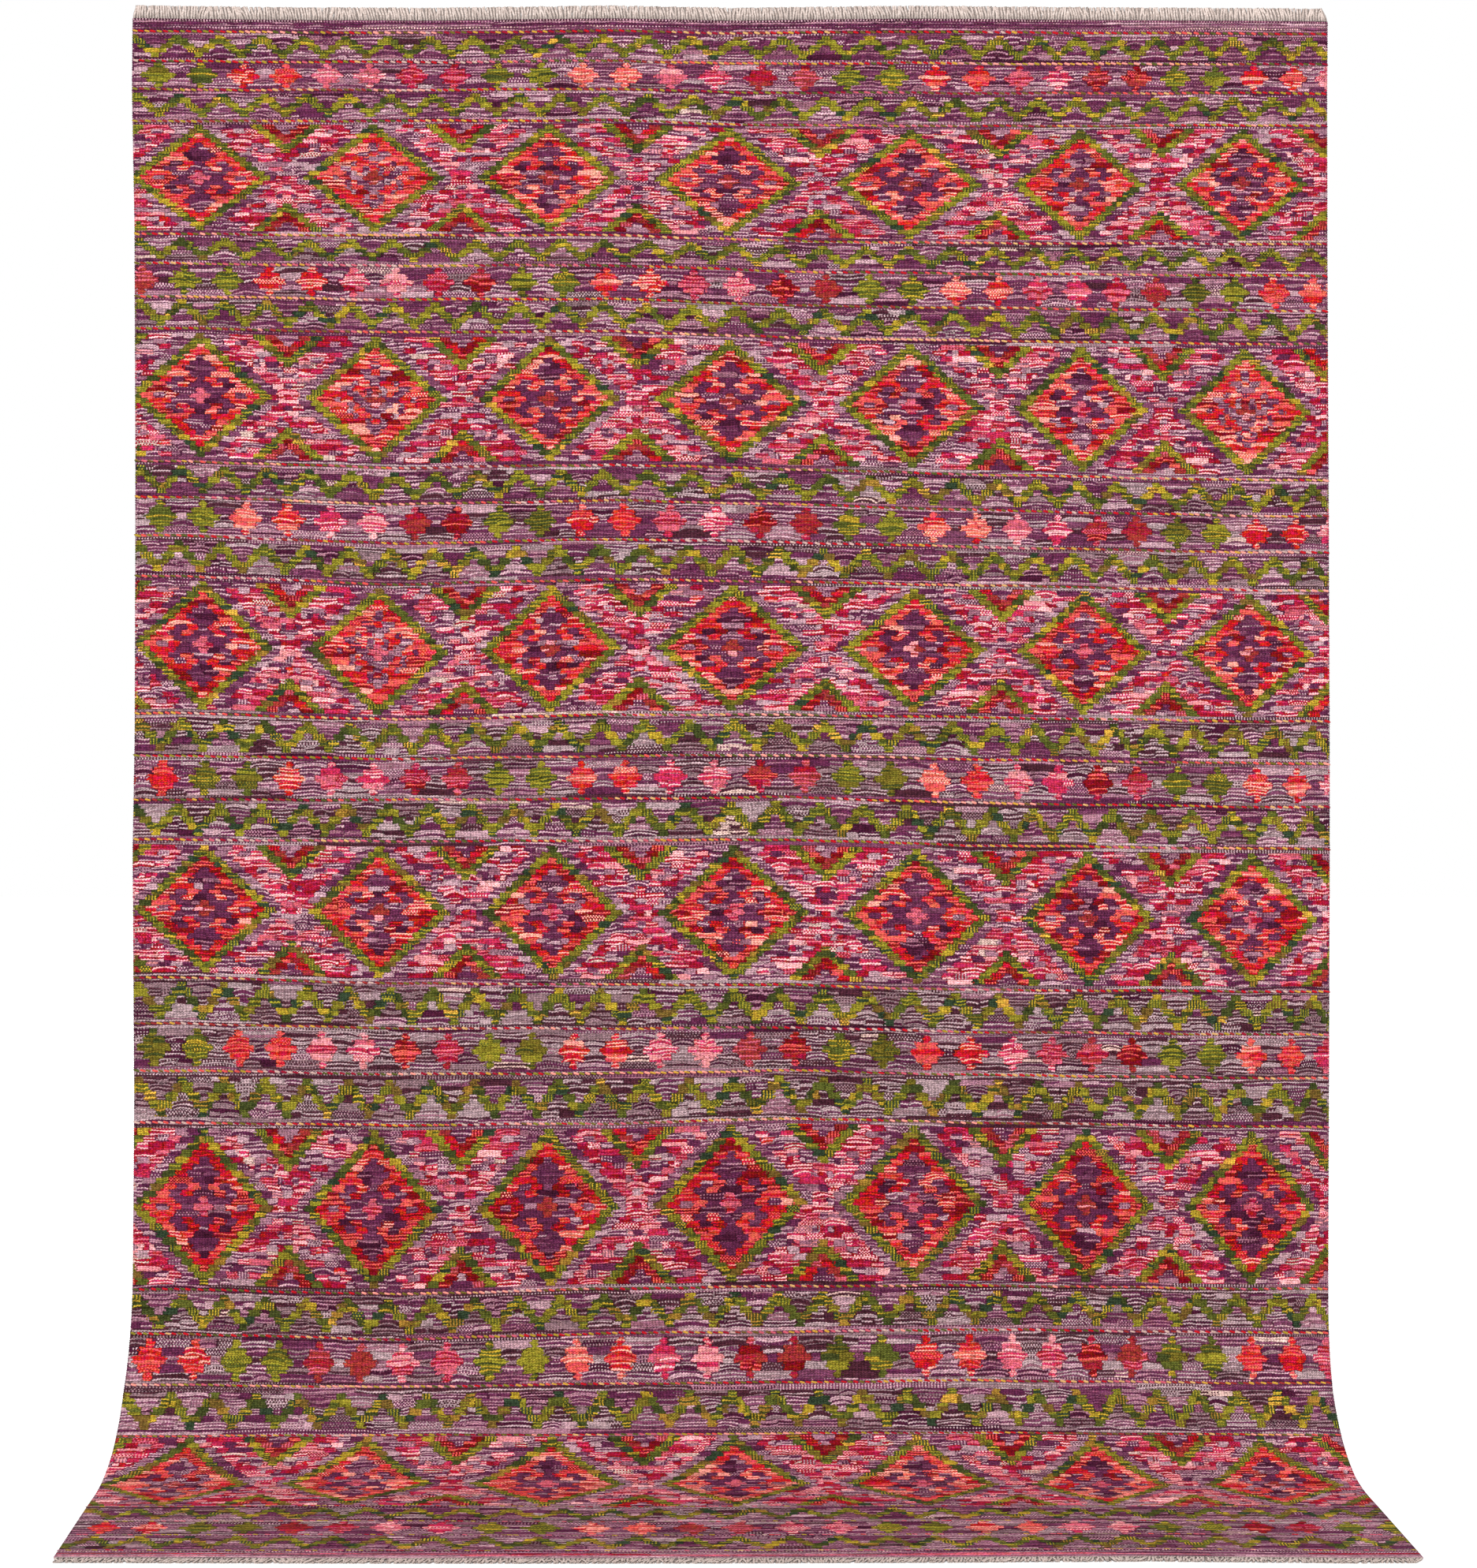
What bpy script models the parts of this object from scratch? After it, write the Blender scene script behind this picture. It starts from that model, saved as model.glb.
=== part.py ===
"""Kilim rug of weft-faced tapestry, held by its top edge, its foot swept forward onto the floor.

The origin is the middle of the woven top edge. +X runs across the rug, -Y is the side it shows, +Z is up.
"""

import math
import random
from collections import namedtuple

import bmesh
import bpy

WIDTH = 2.000
THICKNESS = 0.003
TOP_HEIGHT = 2.390  # from the floor to the woven top edge

# The cloth leaves its hanging plane on a quarter of a superellipse and lies flat from there on.
SWEEP_RISE = 0.300
SWEEP_DEPTH = 0.340
SWEEP_POWER = 2.3
SWEEP_STEPS = 200  # fine steps that its length is summed over
FOOT_LENGTH = 0.337  # lying flat, up to the woven foot edge

COLUMNS = 20
HANGING_ROWS = 22
SWEEP_ROWS = 16
FOOT_ROWS = 6

RIPPLE = 0.0035  # how far the hanging cloth leaves its plane
RIPPLE_FADE = 0.35  # the length over which a ripple or an uneven end dies away

GAP = 0.0003
STRIP = 0.003
FRINGE_THICKNESS = 0.0026
FRINGE_LENGTH = 0.017
STRANDS = 120
STRAND_TIP = 0.6  # its tip's width, as a share of its root's
LENGTH_SPREAD = 0.0015
LEAN_SPREAD = 0.003

# How far each side edge stands outside (+) or inside (-) of half the width.
SideRow = namedtuple("SideRow", "along left right")
SIDES = (
    SideRow(0.00, 0.002, -0.001),
    SideRow(0.12, 0.003, -0.002),
    SideRow(0.34, -0.001, -0.001),
    SideRow(0.76, -0.002, 0.001),
    SideRow(1.20, -0.001, 0.002),
    SideRow(1.39, 0.002, 0.002),
    SideRow(1.80, -0.001, 0.001),
    SideRow(2.13, 0.002, 0.000),
    SideRow(2.30, 0.005, -0.004),
    SideRow(2.50, 0.001, -0.002),
    SideRow(2.65, -0.003, 0.003),
    SideRow(2.95, -0.014, 0.011),
)

# How far each end edge stands beyond (+) or short of (-) straight, at a column's place from 0 to 1.
EndRow = namedtuple("EndRow", "across top foot")
ENDS = (
    EndRow(0.00, 0.0030, -0.0030),
    EndRow(0.10, 0.0000, -0.0010),
    EndRow(0.25, -0.0015, 0.0010),
    EndRow(0.40, 0.0025, 0.0010),
    EndRow(0.50, -0.0015, 0.0000),
    EndRow(0.65, 0.0020, -0.0040),
    EndRow(0.80, -0.0005, -0.0100),
    EndRow(0.95, -0.0020, 0.0000),
    EndRow(1.00, -0.0030, -0.0020),
)

WOOL = (0.22, 0.07, 0.13, 1.0)
COTTON = (0.58, 0.50, 0.45, 1.0)


def between(rows, place, key, value):
    """The value at a place, on straight lines between a table's rows."""
    for near, far in zip(rows, rows[1:]):
        if place <= getattr(far, key):
            break
    share = (place - getattr(near, key)) / (getattr(far, key) - getattr(near, key))
    return getattr(near, value) + min(share, 1.0) * (getattr(far, value) - getattr(near, value))


def sweep_curve():
    """(length so far, forward, height) down the curve from the hanging plane to the floor."""
    points = [(0.0, 0.0, SWEEP_RISE)]
    for step in range(1, SWEEP_STEPS + 1):
        turn = math.pi / 2 * step / SWEEP_STEPS
        forward = SWEEP_DEPTH * (1 - max(math.cos(turn), 0.0) ** (2 / SWEEP_POWER))
        height = SWEEP_RISE * (1 - math.sin(turn) ** (2 / SWEEP_POWER))
        length, last_forward, last_height = points[-1]
        length += math.hypot(forward - last_forward, height - last_height)
        points.append((length, forward, height))
    return points


SWEEP = sweep_curve()
SWEEP_LENGTH = SWEEP[-1][0]
HANGING_LENGTH = TOP_HEIGHT - THICKNESS / 2 - SWEEP_RISE
WOVEN_LENGTH = HANGING_LENGTH + SWEEP_LENGTH + FOOT_LENGTH


def profile(along):
    """(forward, height over the floor's own level) of the cloth's middle, a length down from its top."""
    if along <= HANGING_LENGTH:
        return 0.0, SWEEP_RISE + HANGING_LENGTH - along
    rest = along - HANGING_LENGTH
    if rest >= SWEEP_LENGTH:
        return SWEEP_DEPTH + rest - SWEEP_LENGTH, 0.0
    for near, far in zip(SWEEP, SWEEP[1:]):
        if rest <= far[0]:
            share = (rest - near[0]) / (far[0] - near[0])
            return near[1] + share * (far[1] - near[1]), near[2] + share * (far[2] - near[2])
    return SWEEP_DEPTH, 0.0


def ripple(x, along):
    """The hanging cloth's low waves, which die away at its held edge and before the sweep."""
    fade = min(along, HANGING_LENGTH - along, RIPPLE_FADE) / RIPPLE_FADE
    if fade <= 0:
        return 0.0
    long_wave = math.sin(2 * math.pi * (x / 0.95 + along / 2.6))
    short_wave = math.sin(2 * math.pi * (x / 0.43 - along / 1.7) + 1.0)
    return RIPPLE * fade * fade * (0.7 * long_wave + 0.3 * short_wave)


def cloth_spot(across, along):
    """A point of the cloth's middle: across from 0, left, to 1, right, and a length down from its top."""
    left = -WIDTH / 2 - between(SIDES, along, "along", "left")
    right = WIDTH / 2 + between(SIDES, along, "along", "right")
    x = left + across * (right - left)
    forward, height = profile(along)
    near_top = max(0.0, 1 - along / RIPPLE_FADE)
    near_foot = max(0.0, 1 - (WOVEN_LENGTH - along) / (0.9 * FOOT_LENGTH))
    forward += near_foot * between(ENDS, across, "across", "foot")
    height += near_top * between(ENDS, across, "across", "top")
    return x, -forward + ripple(x, along), height + THICKNESS / 2 - TOP_HEIGHT


def cloth_lengths():
    """Where the cloth's rows of points lie: even while it hangs, closer in the sweep."""
    hanging = [HANGING_LENGTH * row / HANGING_ROWS for row in range(HANGING_ROWS)]
    sweep = [HANGING_LENGTH + SWEEP_LENGTH * row / SWEEP_ROWS for row in range(SWEEP_ROWS)]
    foot_start = HANGING_LENGTH + SWEEP_LENGTH
    foot = [foot_start + FOOT_LENGTH * row / FOOT_ROWS for row in range(FOOT_ROWS + 1)]
    return hanging + sweep + foot


def material(name, colour):
    made = bpy.data.materials.new(name)
    made.use_nodes = True
    shader = made.node_tree.nodes["Principled BSDF"]
    shader.inputs["Base Color"].default_value = colour
    shader.inputs["Roughness"].default_value = 0.95
    shader.inputs["Metallic"].default_value = 0.0
    return made


def sheet_object(name, surface, thickness, finish, collection):
    """An object of an open surface, given its thickness to both sides alike."""
    mesh = bpy.data.meshes.new(name)
    surface.to_mesh(mesh)
    surface.free()
    mesh.shade_smooth()
    mesh.materials.append(finish)
    made = bpy.data.objects.new(name, mesh)
    collection.objects.link(made)
    wall = made.modifiers.new("Thickness", "SOLIDIFY")
    wall.thickness = thickness
    wall.offset = 0.0
    return made


def woven_cloth(finish, collection):
    lengths = cloth_lengths()
    surface = bmesh.new()
    bmesh.ops.create_grid(surface, x_segments=COLUMNS, y_segments=len(lengths) - 1, size=0.5)
    for point in surface.verts:
        row = round((0.5 - point.co.y) * (len(lengths) - 1))
        point.co = cloth_spot(point.co.x + 0.5, lengths[row])
    bmesh.ops.recalc_face_normals(surface, faces=surface.faces)
    return sheet_object("woven_cloth", surface, THICKNESS, finish, collection)


def fringe_plan(seed):
    """The fringe laid flat: x from 0 to 1 across, y out from the woven edge. Strands grow from every other cell."""
    chance = random.Random(seed)
    cells = 2 * STRANDS + 1
    plan = bmesh.new()
    bmesh.ops.create_grid(plan, x_segments=cells, y_segments=1, size=0.5)
    for point in plan.verts:
        point.co = (point.co.x + 0.5, GAP + STRIP * (point.co.y + 0.5), 0.0)
    roots = [edge for edge in plan.edges if all(v.co.y > GAP + STRIP / 2 for v in edge.verts)]
    roots.sort(key=lambda edge: sum(v.co.x for v in edge.verts))
    for root in roots[1::2]:
        lean = chance.uniform(-LEAN_SPREAD, LEAN_SPREAD) / WIDTH
        length = FRINGE_LENGTH - STRIP + chance.uniform(-LENGTH_SPREAD, LENGTH_SPREAD)
        middle = sum(v.co.x for v in root.verts) / 2
        # The outermost strands lean inwards.
        lean += 0.003 * (0.5 - middle) ** 9 * 2**9 / WIDTH
        edge = root
        for reach, width in ((0.5, 1.0), (0.5, STRAND_TIP)):
            grown = bmesh.ops.extrude_edge_only(plan, edges=[edge])["geom"]
            for point in (item for item in grown if isinstance(item, bmesh.types.BMVert)):
                point.co.x = middle + (point.co.x - middle) * width + lean * reach
                point.co.y += length * reach
            edge = next(item for item in grown if isinstance(item, bmesh.types.BMEdge))
            middle += lean * reach
    return plan


def fringe(name, along, direction, lift, seed, finish, collection):
    """The warp ends past one woven edge, their roots fused in a narrow strip."""
    plan = fringe_plan(seed)
    for point in plan.verts:
        out = point.co.y
        x, y, z = cloth_spot(point.co.x, along)
        point.co = (x, y + direction[0] * out, z + direction[1] * out + lift)
    bmesh.ops.recalc_face_normals(plan, faces=plan.faces)
    return sheet_object(name, plan, FRINGE_THICKNESS, finish, collection)


def main():
    for old in list(bpy.data.objects):
        bpy.data.objects.remove(old)
    rug = bpy.data.collections.new("kilim_rug")
    bpy.context.scene.collection.children.link(rug)
    wool = material("dyed_wool_tapestry", WOOL)
    cotton = material("undyed_warp_ends", COTTON)
    on_floor = (FRINGE_THICKNESS - THICKNESS) / 2
    woven_cloth(wool, rug)
    fringe("top_fringe", 0.0, (0.0, 1.0), 0.0, 3, cotton, rug)
    fringe("foot_fringe", WOVEN_LENGTH, (-1.0, 0.0), on_floor, 8, cotton, rug)


main()
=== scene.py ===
import math
import random

import bpy
import numpy as np
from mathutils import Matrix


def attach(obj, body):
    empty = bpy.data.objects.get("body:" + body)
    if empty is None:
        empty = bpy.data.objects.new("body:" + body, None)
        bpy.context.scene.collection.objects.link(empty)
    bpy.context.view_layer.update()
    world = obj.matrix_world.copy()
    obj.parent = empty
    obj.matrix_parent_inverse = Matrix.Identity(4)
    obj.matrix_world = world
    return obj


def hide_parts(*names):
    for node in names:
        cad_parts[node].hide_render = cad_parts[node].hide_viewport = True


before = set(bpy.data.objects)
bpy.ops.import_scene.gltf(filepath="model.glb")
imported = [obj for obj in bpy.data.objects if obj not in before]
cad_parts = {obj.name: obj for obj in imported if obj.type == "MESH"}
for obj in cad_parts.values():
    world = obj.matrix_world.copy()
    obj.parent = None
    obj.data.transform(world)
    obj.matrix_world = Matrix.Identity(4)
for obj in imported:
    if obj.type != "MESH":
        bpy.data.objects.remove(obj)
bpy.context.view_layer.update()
print("frame loaded:", len(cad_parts), "nodes")

bpy.context.scene.view_settings.view_transform = "Standard"  # the photo's white is plain white


def linearColour(hexCode):
    channels = [int(hexCode[i:i + 2], 16) / 255 for i in (1, 3, 5)]
    return [c / 12.92 if c <= 0.04045 else ((c + 0.055) / 1.055) ** 2.4 for c in channels] + [1.0]


def addNode(tree, kind, inputs=None, give=None, **settings):
    # one node, its settings, and what goes into it: a socket is linked, a value is set
    node = tree.nodes.new(kind)
    for name, value in settings.items():
        setattr(node, name, value)
    for key, value in (inputs or {}).items():
        if isinstance(value, bpy.types.NodeSocket):
            tree.links.new(value, node.inputs[key])
        else:
            node.inputs[key].default_value = value
    return node if give is None else node.outputs[give]


def treeOf(*values):
    # the node tree of the sockets among these values
    return next(value.id_data for value in values if isinstance(value, bpy.types.NodeSocket))


def maths(operation, *values):
    return addNode(treeOf(*values), "ShaderNodeMath", dict(enumerate(values)), give=0, operation=operation)


def spread(value, low, high, toLow, toHigh):
    limits = {0: value, 1: low, 2: high, 3: toLow, 4: toHigh}
    return addNode(treeOf(value), "ShaderNodeMapRange", limits, give=0)


def joined(x=0.0, y=0.0, z=0.0):
    return addNode(treeOf(x, y, z), "ShaderNodeCombineXYZ", {0: x, 1: y, 2: z}, give=0)


def parts(vector):
    return addNode(treeOf(vector), "ShaderNodeSeparateXYZ", {0: vector}).outputs[:3]


def softNoise(place, sizes, detail):
    # noise over a place in metres, with patches of these sizes in mm: two for a flat place,
    # three for a solid one
    tree = treeOf(place)
    scale = [round(1000 / size) for size in sizes]
    stretched = addNode(tree, "ShaderNodeMapping", {"Vector": place, "Scale": (scale + [1])[:3]}, give=0)
    return addNode(tree, "ShaderNodeTexNoise", {"Vector": stretched, "Scale": 1.0, "Detail": detail},
                   give=0, noise_dimensions=f"{len(sizes)}D")


def newMaterial(name, roughness, specular):
    made = bpy.data.materials.new(name)
    made.use_nodes = True
    shader = made.node_tree.nodes["Principled BSDF"]
    shader.inputs["Roughness"].default_value = roughness
    shader.inputs["Specular IOR Level"].default_value = specular
    return made, made.node_tree, shader


def giveLooks(shader, height, strength, depth, colour=None):
    # bump from a height of 0 to 1, which stands for a depth in metres, and a colour
    tree = treeOf(height)
    bump = addNode(tree, "ShaderNodeBump", {"Height": height, "Strength": strength, "Distance": depth},
                   give=0)
    tree.links.new(bump, shader.inputs["Normal"])
    if colour is not None:
        tree.links.new(colour, shader.inputs["Base Color"])


cameraPlace = {
    "spot": (0.0125, -5.218, -1.127),  # level and square to the rug, as far as the foot's spread says
    "lens": 71.53,
    "shiftDown": 0.0581,
}

camera = bpy.data.cameras.new("photoCamera")
camera.lens = cameraPlace["lens"]
camera.shift_y = -cameraPlace["shiftDown"]
camera.clip_end = 60.0
cameraObject = bpy.data.objects.new("photoCamera", camera)
cameraObject.location = cameraPlace["spot"]
cameraObject.rotation_euler = (math.pi / 2, 0.0, 0.0)
bpy.context.scene.collection.objects.link(cameraObject)
bpy.context.scene.camera = cameraObject
print("camera placed")


# The origin is the middle of the woven top edge. Across runs from 0, left, to 1, right, and
# along is the length down the cloth from its woven top edge.

hang = {
    "width": 2.000,
    "thickness": 0.003,
    "topHeight": 2.390,
    "sweepRise": 0.300,
    "sweepDepth": 0.340,
    "sweepPower": 2.3,
    "footLength": 0.337,
    "ripple": 0.0035,  # how far the hanging cloth leaves its plane
    "rippleFade": 0.35,  # the length over which a ripple, or the top's uneven end, dies away
    "footFade": 0.9,  # as a share of the foot's length, for the foot's uneven end
    # its waves: share, length across, length along, phase
    "rippleWaves": ((0.7, 0.95, 2.6, 0.0), (0.3, 0.43, -1.7, 1.0)),
}

# how far each side edge stands outside (+) or inside (-) of half the width: along, left, right
sideTable = np.array([
    (0.00, 0.002, -0.001), (0.12, 0.003, -0.002), (0.34, -0.001, -0.001), (0.76, -0.002, 0.001),
    (1.20, -0.001, 0.002), (1.39, 0.002, 0.002), (1.80, -0.001, 0.001), (2.13, 0.002, 0.000),
    (2.30, 0.005, -0.004), (2.50, 0.001, -0.002), (2.65, -0.003, 0.003), (2.95, -0.014, 0.011),
])
# how far each end edge stands beyond (+) or short of (-) straight: across, top, foot
endTable = np.array([
    (0.00, 0.0030, -0.0030), (0.10, 0.0000, -0.0010), (0.25, -0.0015, 0.0010),
    (0.40, 0.0025, 0.0010), (0.50, -0.0015, 0.0000), (0.65, 0.0020, -0.0040),
    (0.80, -0.0005, -0.0100), (0.95, -0.0020, 0.0000), (1.00, -0.0030, -0.0020),
])

turn = np.linspace(0.0, math.pi / 2, 201)
sweepForward = hang["sweepDepth"] * (1 - np.clip(np.cos(turn), 0, 1) ** (2 / hang["sweepPower"]))
sweepHeight = hang["sweepRise"] * (1 - np.sin(turn) ** (2 / hang["sweepPower"]))
sweepSoFar = np.concatenate([[0.0], np.cumsum(np.hypot(np.diff(sweepForward), np.diff(sweepHeight)))])
sweepLength = sweepSoFar[-1]
hangingLength = hang["topHeight"] - hang["thickness"] / 2 - hang["sweepRise"]
wovenLength = hangingLength + sweepLength + hang["footLength"]


def profile(along):
    # (forward, height over the floor's own level) of the cloth's middle
    rest = along - hangingLength
    forward = np.where(rest < sweepLength, np.interp(rest, sweepSoFar, sweepForward),
                       hang["sweepDepth"] + rest - sweepLength)
    height = np.where(rest < 0, hang["sweepRise"] - rest, np.interp(rest, sweepSoFar, sweepHeight))
    return forward, height


def ripple(x, along):
    fade = np.minimum(np.minimum(along, hangingLength - along), hang["rippleFade"]) / hang["rippleFade"]
    waves = sum(share * np.sin(2 * math.pi * (x / wide + along / deep) + phase)
                for share, wide, deep, phase in hang["rippleWaves"])
    return np.where(fade > 0, hang["ripple"] * fade * fade * waves, 0.0)


def clothSlope(along):
    # how far the cloth goes forward, and how far up, over 2 mm of its length
    aheadForward, aheadHeight = profile(along + 0.001)
    behindForward, behindHeight = profile(along - 0.001)
    return aheadForward - behindForward, aheadHeight - behindHeight


def clothSpot(across, along, lift=0.0):
    # points of the cloth, lifted towards its shown side from its middle
    across, along = np.broadcast_arrays(np.asarray(across, float), np.asarray(along, float))
    left = -hang["width"] / 2 - np.interp(along, sideTable[:, 0], sideTable[:, 1])
    right = hang["width"] / 2 + np.interp(along, sideTable[:, 0], sideTable[:, 2])
    x = left + across * (right - left)
    forward, height = profile(along)
    slopeForward, slopeHeight = clothSlope(along)
    slope = np.hypot(slopeForward, slopeHeight)
    nearTop = np.clip(1 - along / hang["rippleFade"], 0, None)
    nearFoot = np.clip(1 - (wovenLength - along) / (hang["footFade"] * hang["footLength"]), 0, None)
    forward = forward + nearFoot * np.interp(across, endTable[:, 0], endTable[:, 2])
    height = height + nearTop * np.interp(across, endTable[:, 0], endTable[:, 1])
    forward = forward - lift * slopeHeight / slope
    height = height + lift * slopeForward / slope
    y = -forward + ripple(x, along)
    z = height + hang["thickness"] / 2 - hang["topHeight"]
    return np.stack([x, y, z], axis=-1)


def clothLean(along):
    # the turn about X that takes an upright piece to the cloth's slope there: 0 to -90 degrees
    slopeForward, slopeHeight = clothSlope(along)
    return -np.arctan2(slopeForward, -slopeHeight)


yarns = {
    "aubergine": "#5B2643", "plum": "#703C55", "heather": "#8C5B6B", "mauve": "#9C6E7D",
    "greyLilac": "#B38D96", "ecruPink": "#C6A49B", "paleRose": "#DE888D", "rose": "#C6596A",
    "magenta": "#B62A4C", "crimson": "#96142C", "coral": "#D6504A", "peach": "#EE9788",
    "red": "#B81520", "deepRed": "#780C15", "brick": "#922C2A", "olive": "#6A5F20",
    "yellowOlive": "#A68B2A", "lime": "#857C26", "green": "#525622", "darkGreen": "#3C421F",
    "bottle": "#2E3C2A", "gold": "#C8983A", "greyBrown": "#8B7567", "straw": "#D2A468",
    "blackPlum": "#43172D", "dusk": "#46222D", "greyMauve": "#86696F", "dove": "#A68C90",
    "blush": "#EFA6A8", "moss": "#6C5426", "ochre": "#94702C",
}
yarnNames = list(yarns)
yarnPlaces = 32  # as many as a colour ramp holds


def yarnCode(name):
    return (yarnNames.index(name) + 0.5) / yarnPlaces


def yarnColour(code):
    # the colour of a yarn's code, by a ramp with one hard-edged stop for each yarn
    ramp = addNode(treeOf(code), "ShaderNodeValToRGB", {0: code})
    ramp.color_ramp.interpolation = "CONSTANT"
    stops = ramp.color_ramp.elements
    stops.remove(stops[-1])
    stops[0].position = 0.0
    stops[0].color = linearColour(yarns[yarnNames[0]])
    for index, name in enumerate(yarnNames[1:], 1):
        stops.new(index / yarnPlaces).color = linearColour(yarns[name])
    return ramp.outputs[0]


# How the two yarns of a block alternate, as the repeat and the second yarn's share of it. An
# order is half a line of weft: the beads over the even warps, then those over the odd ones. A
# repeat of 2 orders gives upright hatching, 4 at a quarter dots, 6 at a third single lines, and
# 4 or 8 at a half stripes of whole lines. A repeat of -1 takes each line's yarn by chance.
weaves = {
    "plain": (-1, 0.0),
    "hatch": (2, 0.5),
    "dots": (4, 0.25),
    "stripes": (4, 0.5),
    "thin": (6, 0.34),
    "broad": (8, 0.5),
    "lines": (-1, 0.36),
    "mostly": (-1, 0.64),
}

# pairs of yarns, as weight, ground and second yarn: first the purples of the plain ground
darkPurples = [
    (24, "aubergine", "greyLilac"), (22, "aubergine", "mauve"), (12, "plum", "greyLilac"),
    (12, "aubergine", "heather"), (10, "aubergine", "plum"), (10, "plum", "aubergine"),
    (10, "blackPlum", "mauve"),
]
greyDarks = [
    (26, "dusk", "dove"), (22, "dusk", "greyMauve"), (14, "aubergine", "dove"),
    (12, "aubergine", "greyMauve"), (14, "blackPlum", "dove"), (12, "plum", "dove"),
]
greyLights = [
    (30, "dove", "dusk"), (26, "greyMauve", "dusk"), (14, "dove", "aubergine"),
    (12, "greyMauve", "blackPlum"), (8, "dove", "greyMauve"), (5, "dove", "heather"),
    (2, "ecruPink", "dusk"),
]
lightPurples = [
    (28, "greyLilac", "aubergine"), (24, "mauve", "aubergine"), (14, "greyLilac", "plum"),
    (10, "mauve", "blackPlum"), (10, "heather", "greyLilac"), (3, "ecruPink", "plum"),
    (7, "heather", "aubergine"),
]
# for each letter of the charts, and the deeper dye lots of three of them
blockYarns = {
    "G": [(22, "lime", "darkGreen"), (14, "lime", "green"), (12, "yellowOlive", "green"),
          (12, "olive", "lime"), (16, "green", "lime"), (12, "darkGreen", "olive"),
          (6, "bottle", "lime"), (2, "gold", "darkGreen"), (4, "moss", "gold")],
    "F": [(24, "red", "peach"), (10, "peach", "red"), (18, "coral", "red"), (16, "red", "coral"),
          (10, "coral", "peach"), (14, "coral", "deepRed"), (8, "deepRed", "peach")],
    "deepF": [(30, "red", "coral"), (28, "deepRed", "coral"), (20, "red", "deepRed"),
              (12, "coral", "deepRed"), (10, "red", "peach")],
    "deepG": [(20, "moss", "lime"), (22, "darkGreen", "yellowOlive"), (14, "bottle", "lime"),
              (12, "ochre", "darkGreen"), (22, "green", "lime"), (10, "yellowOlive", "bottle")],
    "deepM": [(50, "aubergine", "plum"), (30, "blackPlum", "heather"), (20, "aubergine", "mauve")],
    "M": [(34, "aubergine", "plum"), (14, "blackPlum", "heather"), (30, "aubergine", "mauve"),
          (22, "aubergine", "greyLilac")],
    "N": [(30, "heather", "aubergine"), (25, "mauve", "aubergine"), (15, "greyLilac", "plum"),
          (20, "aubergine", "greyLilac"), (10, "aubergine", "coral")],
    "m": [(25, "aubergine", "mauve"), (25, "mauve", "plum"), (25, "plum", "greyLilac"),
          (25, "heather", "aubergine")],
    "B": [(26, "aubergine", "greyLilac"), (22, "greyLilac", "aubergine"), (20, "mauve", "aubergine"),
          (12, "aubergine", "heather"), (12, "plum", "greyLilac"), (8, "crimson", "paleRose")],
    "K": [(14, "rose", "crimson"), (18, "crimson", "blush"), (14, "magenta", "blush"),
          (14, "paleRose", "crimson"), (8, "blush", "magenta"), (8, "crimson", "magenta"),
          (3, "ecruPink", "crimson"), (9, "greyLilac", "aubergine"), (3, "heather", "paleRose"),
          (10, "aubergine", "greyLilac")],
    "C": [(45, "crimson", "magenta"), (25, "crimson", "paleRose"), (15, "red", "paleRose"),
          (15, "aubergine", "mauve")],
    "S": [(30, "mauve", "aubergine"), (25, "greyLilac", "plum"), (25, "aubergine", "greyLilac"),
          (10, "greyLilac", "crimson"), (10, "heather", "paleRose")],
    "T": [(45, "deepRed", "coral"), (25, "brick", "deepRed"), (15, "red", "deepRed"),
          (15, "brick", "rose")],
    "V": [(40, "aubergine", "greyLilac"), (60, "mauve", "aubergine")],
    "P": [(60, "brick", "paleRose"), (40, "rose", "crimson")],
}
blockWeaves = {
    "G": [(14, "hatch"), (32, "plain"), (18, "stripes"), (4, "broad"), (22, "lines"), (10, "thin")],
    "F": [(14, "plain"), (34, "stripes"), (12, "lines"), (10, "mostly"), (22, "thin"), (8, "broad")],
    "M": [(34, "plain"), (6, "dots"), (24, "lines"), (8, "broad"), (28, "thin")],
    "N": [(10, "plain"), (8, "dots"), (30, "lines"), (8, "broad"), (44, "stripes")],
    "m": [(12, "plain"), (8, "dots"), (32, "lines"), (8, "broad"), (40, "stripes")],
    "B": [(26, "lines"), (32, "stripes"), (4, "dots"), (12, "plain"), (8, "broad"), (18, "thin")],
    "K": [(40, "stripes"), (18, "lines"), (8, "plain"), (10, "broad"), (4, "dots"), (6, "mostly"),
          (14, "thin")],
    "C": [(24, "plain"), (30, "lines"), (8, "broad"), (38, "stripes")],
    "S": [(8, "hatch"), (12, "dots"), (30, "broad"), (30, "lines"), (20, "plain")],
    "T": [(20, "plain"), (10, "dots"), (15, "hatch"), (55, "lines")],
    "V": [(70, "lines"), (30, "dots")],
    "P": [(40, "plain"), (60, "lines")],
    "lozenge": [(30, "thin"), (26, "lines"), (28, "stripes"), (16, "plain")],
    "dark": [(24, "lines"), (32, "stripes"), (4, "dots"), (10, "broad"), (24, "thin"), (6, "plain")],
    "light": [(22, "lines"), (38, "stripes"), (3, "dots"), (10, "broad"), (24, "thin"), (3, "plain")],
    "twined": [(40, "lines"), (30, "thin"), (30, "dots")],
    "plainRow": [(4, "hatch"), (32, "dots"), (24, "stripes"), (20, "lines"), (20, "thin")],
}
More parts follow.
